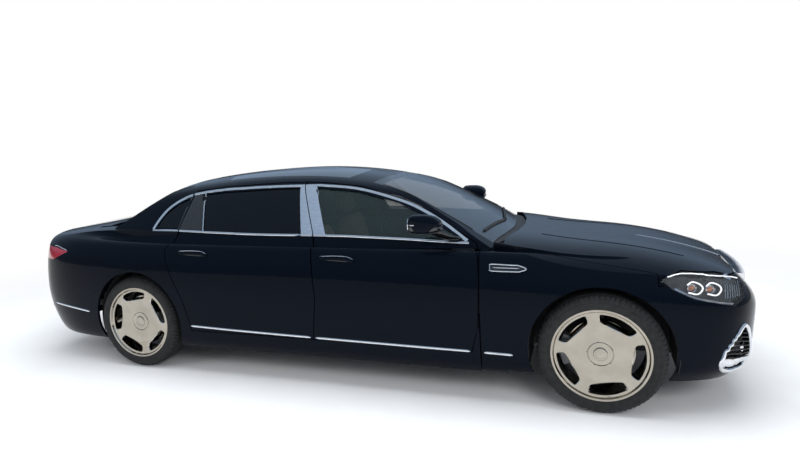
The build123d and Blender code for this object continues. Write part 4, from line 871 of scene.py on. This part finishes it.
def cushion(name, place, size, tilt, seams, crown, around, lengthwise):
    """A crowned pad on a leaning plane: place is its middle, size its width, length and thickness."""
    width, length, thick = size
    c, s = math.cos(math.radians(tilt)), math.sin(math.radians(tilt))
    run, out_of_face = Vector((c, 0, s)), Vector((-s, 0, c))
    rings = []
    for i in range(lengthwise + 1):
        t = 2 * i / lengthwise - 1
        end = math.sqrt(max(0.0, 1 - abs(t) ** END_POWER))
        half_w = width / 2 * (END_WIDTH + (1 - END_WIDTH) * end) * (1 - WAIST * (1 - (1 - abs(t)) ** 0.5))
        half_t = thick / 2 * (END_THICK + (1 - END_THICK) * end)
        ring = []
        for k in range(around):
            a = 2 * math.pi * k / around
            u = math.copysign(abs(math.cos(a)) ** EDGE_POWER, math.cos(a))
            v = math.copysign(abs(math.sin(a)) ** FACE_POWER, math.sin(a))
            rise = v * half_t
            if v > 0:
                rise += crown * (1 - t * t) * (1 - u * u)
            if v > FACE_FROM:
                rise -= SEAM_DEPTH * max(0.0, 1 - abs(abs(u) - SEAM_AT) / SEAM_WIDTH)
                if abs(u) < CHANNELS_TO and abs(t) < CHANNELS_ALONG:
                    off = abs(((t + 1) / 2 * seams) % 1.0 - 0.5) * 2
                    rise -= CHANNEL_DEPTH * max(0.0, 1 - off / CHANNEL_WIDTH)
            p = Vector(place) + run * (t * length / 2) + Vector((0, u * half_w, 0))
            ring.append(p + out_of_face * rise)
        rings.append(ring)
    pad = loft(name, rings, leather, ROOT, levels=1)
    return pad


# name, node that it stands for, middle on the left side, size, lean in degrees, seams, crown, and counts
FRONT_PADS = (
    ("seat_cushion", "front_seats", (0.150, 0.388, 0.430), (0.50, 0.50, 0.12), 5, 5, 0.028, 48, 40),
    ("seat_back", None, (-0.105, 0.388, 0.765), (0.48, 0.60, 0.13), 104, 7, 0.028, 48, 44),
    ("seat_headrest", None, (-0.205, 0.388, 1.165), (0.27, 0.165, 0.095), 100, 1, 0.012, 32, 16))
REAR_PADS = (
    ("rear_cushion", "rear_seat", (-1.130, 0.345, 0.520), (0.60, 0.50, 0.10), 4, 5, 0.028, 48, 40),
    ("rear_back", None, (-1.455, 0.345, 0.815), (0.56, 0.56, 0.13), 107, 7, 0.028, 48, 44),
    ("rear_headrest", None, (-1.555, 0.38, 1.165), (0.28, 0.155, 0.085), 100, 1, 0.012, 32, 16))
SEAT_Y = 0.388


def pads(rows, side, flip):
    for name, node, (x, y, z), *rest in rows:
        pad = cushion(f"{name}_{side}", (x, y * flip, z), *rest)
        if node and flip > 0:
            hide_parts(node)


def plinth(name, x, y, half_x, half_y, heights, shape):
    rings = [[(x + a * half_x, y + b * half_y, z) for a, b in oval(*shape)] for z in heights]
    loft(name, rings, black_grain, ROOT)


for side, flip in SIDES:
    pads(FRONT_PADS, side, flip)
    y = SEAT_Y * flip
    for letter, post in (("a", -0.05), ("b", 0.05)):
        rings = [[(x + a, y + post + b, z) for a, b in oval(10, 0.006, 0.006)]
                 for x, z in ((-0.188, 1.03), (-0.198, 1.11))]
        loft(f"headrest_post_{side}_{letter}", rings, chrome, ROOT)
    plinth(f"seat_plinth_{side}", 0.120, y, 0.30, 0.19, (0.272, 0.300, 0.375), (20, 0.62, 1.0, 5, 5))
    pads(REAR_PADS, side, flip)
cushion("rear_armrest", (-1.180, 0.0, 0.620), (0.15, 0.46, 0.10), 3, 1, 0.01, 32, 24)
plinth("rear_seat_base", -1.165, 0.0, 0.24, 0.63, (0.447, 0.478), (28, 1.0, 1.0, 7, 7))

# ---- lamps and trim at the rear; on the tail a place is (across, up)
tail_skin = Skin(["rear_bumper", "tail_lamps", "lid_lamps", "trunk_lid", "body_side_left"], 0, -1,
                 (0.0, 0.93), (0.22, 1.10))
LAMP_TRIM = ((-2.452, 0.962), (-2.400, 0.962), (-2.262, 0.934))
SIDE_TRIM = ((-2.040, 0.428), (-2.200, 0.446), (-2.350, 0.458), (-2.480, 0.464))
LID_TRIM = ((0.02, 0.978), (0.25, 0.976), (0.45, 0.968), (0.585, 0.957))
BACK_TRIM = ((0.30, 0.325), (0.50, 0.330), (0.66, 0.350))
OUTLET = ((0.360, 0.262), (0.360, 0.298), (0.370, 0.306), (0.500, 0.306), (0.512, 0.298), (0.512, 0.262),
          (0.500, 0.252), (0.372, 0.252))
for side, flip in SIDES:
    strip(f"tail_lamp_brow_{side}", side_skin, route(LAMP_TRIM), 0.007, 0.005, chrome, ROOT, flip, taper=0.1)
    strip(f"bumper_strip_side_{side}", side_skin, route(SIDE_TRIM), 0.016, 0.006, chrome, ROOT, flip,
          taper=0.06)
for side, flip in SIDES:
    strip(f"lid_trim_{side}", tail_skin, route(LID_TRIM), 0.014, 0.006, chrome, "trunk_lid", flip, taper=0.02)
    strip(f"bumper_strip_back_{side}", tail_skin, route(BACK_TRIM), 0.016, 0.006, chrome, ROOT, flip,
          taper=0.05)
    strip(f"outlet_frame_{side}", tail_skin, route(OUTLET), 0.012, 0.008, chrome, ROOT, flip, closed=True)
    panel(f"outlet_{side}", tail_skin, ((0.368, 0.257), (0.504, 0.257)), ((0.368, 0.301), (0.504, 0.301)),
          0.0015, 0.004, black_grain, ROOT, flip, 10, 4)
    panel(f"rear_reflector_{side}", tail_skin, ((0.620, 0.392), (0.760, 0.408)),
          ((0.620, 0.410), (0.760, 0.424)), 0.003, 0.004, red_lens, ROOT, flip, 10, 2)
both_tail = Skin(["rear_bumper", "trunk_lid", "lid_lamps"], 0, -1, (-0.60, 0.60), (0.22, 1.00), close=7)
panel("plate_rear", both_tail, ((-0.26, 0.800), (0.26, 0.800)), ((-0.26, 0.735), (0.26, 0.735)), 0.006, 0.006,
      satin, "trunk_lid", rows=10, cols=4)

# ---- hood and screens, from above as (x, y)
top_skin = Skin(["hood", "windshield", "roof", "roof_glass", "rear_window", "trunk_lid", "body_side_left",
                 "fender_left", "front_bumper", "cowl"], 2, 1, (-2.72, 2.70), (0.0, 0.95), step=0.012,
                close=3)
HOOD_CREASE = ((1.50, 0.372), (1.80, 0.410), (2.08, 0.445), (2.34, 0.470))
SCREEN_EDGE = ((0.425, 0.500), (0.700, 0.586), (0.950, 0.640), (1.080, 0.668))
BACK_GLASS_EDGE = ((-1.205, 0.492), (-1.500, 0.572), (-1.930, 0.638))
strip("hood_fin", top_skin, route(((2.10, 0.0), (2.30, 0.0), (2.52, 0.0), (2.60, 0.0))), 0.006, 0.004, chrome,
      "hood", taper=0.1)
for side, flip in SIDES:
    strip(f"hood_crease_{side}", top_skin, route(HOOD_CREASE), 0.022, 0.0028, paint, "hood", flip, taper=0.3)
    strip(f"screen_seal_{side}", top_skin, route(SCREEN_EDGE), 0.012, 0.003, seal, ROOT, flip)
    strip(f"back_glass_seal_{side}", top_skin, route(BACK_GLASS_EDGE), 0.012, 0.003, seal, ROOT, flip)

# ---- dashboard, from behind as (y, z)
dash_skin = Skin(["dashboard"], 0, -1, (-0.70, 0.70), (0.57, 0.92), close=1)
panel("dash_display", dash_skin, ((0.200, 0.885), (0.560, 0.885)), ((0.200, 0.790), (0.560, 0.790)), 0.006,
      0.008, screen_black, ROOT, rows=12, cols=4)
panel("centre_display", dash_skin, ((-0.115, 0.850), (0.115, 0.850)), ((-0.100, 0.640), (0.100, 0.640)),
      0.010, 0.012, screen_black, ROOT, rows=10, cols=8)
panel("dash_wood", dash_skin, ((-0.680, 0.770), (0.680, 0.770)), ((-0.680, 0.700), (0.680, 0.700)), 0.003,
      0.004, wood, ROOT, rows=40, cols=4)
for k, y in enumerate((-0.60, -0.22, 0.22, 0.60)):
    ring = route(((y - 0.045, 0.800), (y, 0.822), (y + 0.045, 0.800), (y, 0.778)), 0.006, closed=True)
    strip(f"dash_vent_{k + 1}", dash_skin, ring, 0.007, 0.006, chrome, ROOT, closed=True)

# ---- arch liners down to the bumpers and sills
LINER_R, LINER_THICK, LINER_IN, LINER_OUT = 0.428, 0.004, 0.50, 0.855
LINER_SECTION = ((LINER_R, LINER_IN), (LINER_R, LINER_OUT), (LINER_R + LINER_THICK, LINER_OUT),
                 (LINER_R + LINER_THICK, LINER_IN))
LINER_ARCS = (("fore", -14, 30), ("aft", 150, 196))      # degrees up from straight ahead
LINER_STEPS = 18
for end in ("front", "rear"):
    cx, _, cz = WHEEL_CENTRES[end]
    for side, flip in SIDES:
        for part, low, high in LINER_ARCS:
            turns = [math.radians(low + (high - low) * k / LINER_STEPS) for k in range(LINER_STEPS + 1)]
            rings = [[(cx + r * math.cos(a), y * flip, cz + r * math.sin(a)) for r, y in LINER_SECTION]
                     for a in turns]
            loft(f"arch_liner_{end}_{part}_{side}", rings, underseal, ROOT)

# ---- camera
scene = bpy.context.scene
scene.view_settings.view_transform = "Standard"
CAM_AT = Vector((1.803, -5.043, 1.785))
YAW, PITCH, ROLL = math.radians(-23.33), math.radians(-6.385), math.radians(-3.406)
LENS_MM, SENSOR_MM = 29.223, 36.0
SHIFT_X, SHIFT_Y = 0.1105, -0.02225
camera_data = bpy.data.cameras.new("photo_camera")
camera = bpy.data.objects.new("photo_camera", camera_data)
scene.collection.objects.link(camera)
scene.camera = camera
forward = Vector((math.sin(YAW) * math.cos(PITCH), math.cos(YAW) * math.cos(PITCH), math.sin(PITCH)))
right = Vector((math.cos(YAW), -math.sin(YAW), 0))
up = right.cross(forward)
right_rolled = right * math.cos(ROLL) + up * math.sin(ROLL)
up_rolled = -right * math.sin(ROLL) + up * math.cos(ROLL)
turn = Matrix((right_rolled, up_rolled, -forward)).transposed().to_4x4()
camera.matrix_world = Matrix.Translation(CAM_AT) @ turn
camera_data.sensor_width = SENSOR_MM
camera_data.lens = LENS_MM
camera_data.shift_x, camera_data.shift_y = SHIFT_X, SHIFT_Y
camera_data.clip_end = 200

# ---- floor: pale near the car, and plain white far off to the rays that see the background
FLOOR_NEAR, FLOOR_FAR = 3.2, 7.0
FLOOR_HALF = 40
floor_mesh = bpy.data.meshes.new("floor")
floor_mesh.from_pydata([(a * FLOOR_HALF, b * FLOOR_HALF, 0) for a, b in ((-1, -1), (1, -1), (1, 1), (-1, 1))],
                       [], [(0, 1, 2, 3)])
floor = bpy.data.objects.new("floor", floor_mesh)
scene.collection.objects.link(floor)
floor.location.z = -0.0005
pale = finish("pale_floor", (0.86, 0.90, 2.0, 3), Roughness=0.9)
glow = pale.node("ShaderNodeEmission", Strength=1.0)
far = pale.node("ShaderNodeVectorMath", operation="LENGTH")
fade = pale.node("ShaderNodeMapRange", interpolation_type="SMOOTHERSTEP")
fade.inputs["From Min"].default_value = FLOOR_NEAR
fade.inputs["From Max"].default_value = FLOOR_FAR
pale.link(pale.coord.outputs["Object"], far.inputs[0])
pale.link(far.outputs["Value"], fade.inputs["Value"])
rays = pale.node("ShaderNodeLightPath").outputs
seen = pale.math("MAXIMUM", rays["Is Camera Ray"], rays["Is Glossy Ray"])
seen = pale.math("MAXIMUM", seen, rays["Is Transmission Ray"])
share = pale.math("MULTIPLY", fade.outputs["Result"], seen)
surface = pale.mix(share, pale.shader.outputs[0], glow.outputs[0])
pale.link(surface, pale.tree.nodes["Material Output"].inputs["Surface"])
floor_mesh.materials.append(pale.mat)

# ---- studio: white to the camera, a blue-grey gradient to glossy rays, and an even light to the rest
GLOSS_SKY = ((0.0, (0.05, 0.055, 0.065, 1)), (0.05, (0.08, 0.10, 0.13, 1)), (0.18, (0.26, 0.36, 0.50, 1)),
             (0.45, (0.32, 0.42, 0.55, 1)), (1.0, (0.40, 0.50, 0.62, 1)))
world = bpy.data.worlds.new("studio")
scene.world = world
world.use_nodes = True
studio = Nodes(world.node_tree)
studio.tree.nodes.clear()
out = studio.node("ShaderNodeOutputWorld")
light = studio.node("ShaderNodeBackground", Color=(0.80, 0.86, 0.95, 1), Strength=0.55)
shown = studio.node("ShaderNodeBackground", Color=(1, 1, 1, 1), Strength=1.0)
gloss = studio.node("ShaderNodeBackground", Strength=1.0)
coords = studio.node("ShaderNodeTexCoord")
split = studio.node("ShaderNodeSeparateXYZ")
sky = studio.node("ShaderNodeValToRGB")
stops = sky.color_ramp.elements
stops[0].position, stops[0].color = GLOSS_SKY[0]
stops[1].position, stops[1].color = GLOSS_SKY[-1]
for place, shade in GLOSS_SKY[1:-1]:
    stops.new(place).color = shade
studio.link(coords.outputs["Generated"], split.inputs[0])
studio.link(split.outputs["Z"], sky.inputs["Fac"])
studio.link(sky.outputs["Color"], gloss.inputs["Color"])
rays = studio.node("ShaderNodeLightPath").outputs
lit = studio.mix(rays["Is Glossy Ray"], light.outputs[0], gloss.outputs[0])
seen = studio.math("MAXIMUM", rays["Is Camera Ray"], rays["Is Transmission Ray"])
studio.link(studio.mix(seen, lit, shown.outputs[0]), out.inputs[0])


def lamp(name, place, size, power, look_at=(0, 0, 0.6), colour=(1, 1, 1)):
    data = bpy.data.lights.new(name, "AREA")
    data.shape = "RECTANGLE"
    data.size, data.size_y = size
    data.energy = power
    data.color = colour
    obj = bpy.data.objects.new(name, data)
    scene.collection.objects.link(obj)
    obj.visible_glossy = False
    obj.location = place
    obj.rotation_euler = (Vector(look_at) - Vector(place)).to_track_quat("-Z", "Y").to_euler()


lamp("overhead", (0, 0, 6.0), (9, 5), 420, colour=(0.95, 0.98, 1.0))
lamp("front_right", (5.5, -6.5, 4.5), (4, 2.5), 260)
lamp("rear_right", (-6.0, -6.0, 3.5), (4, 2.5), 150)
lamp("left_fill", (0, 7.5, 4.0), (7, 2.5), 160)
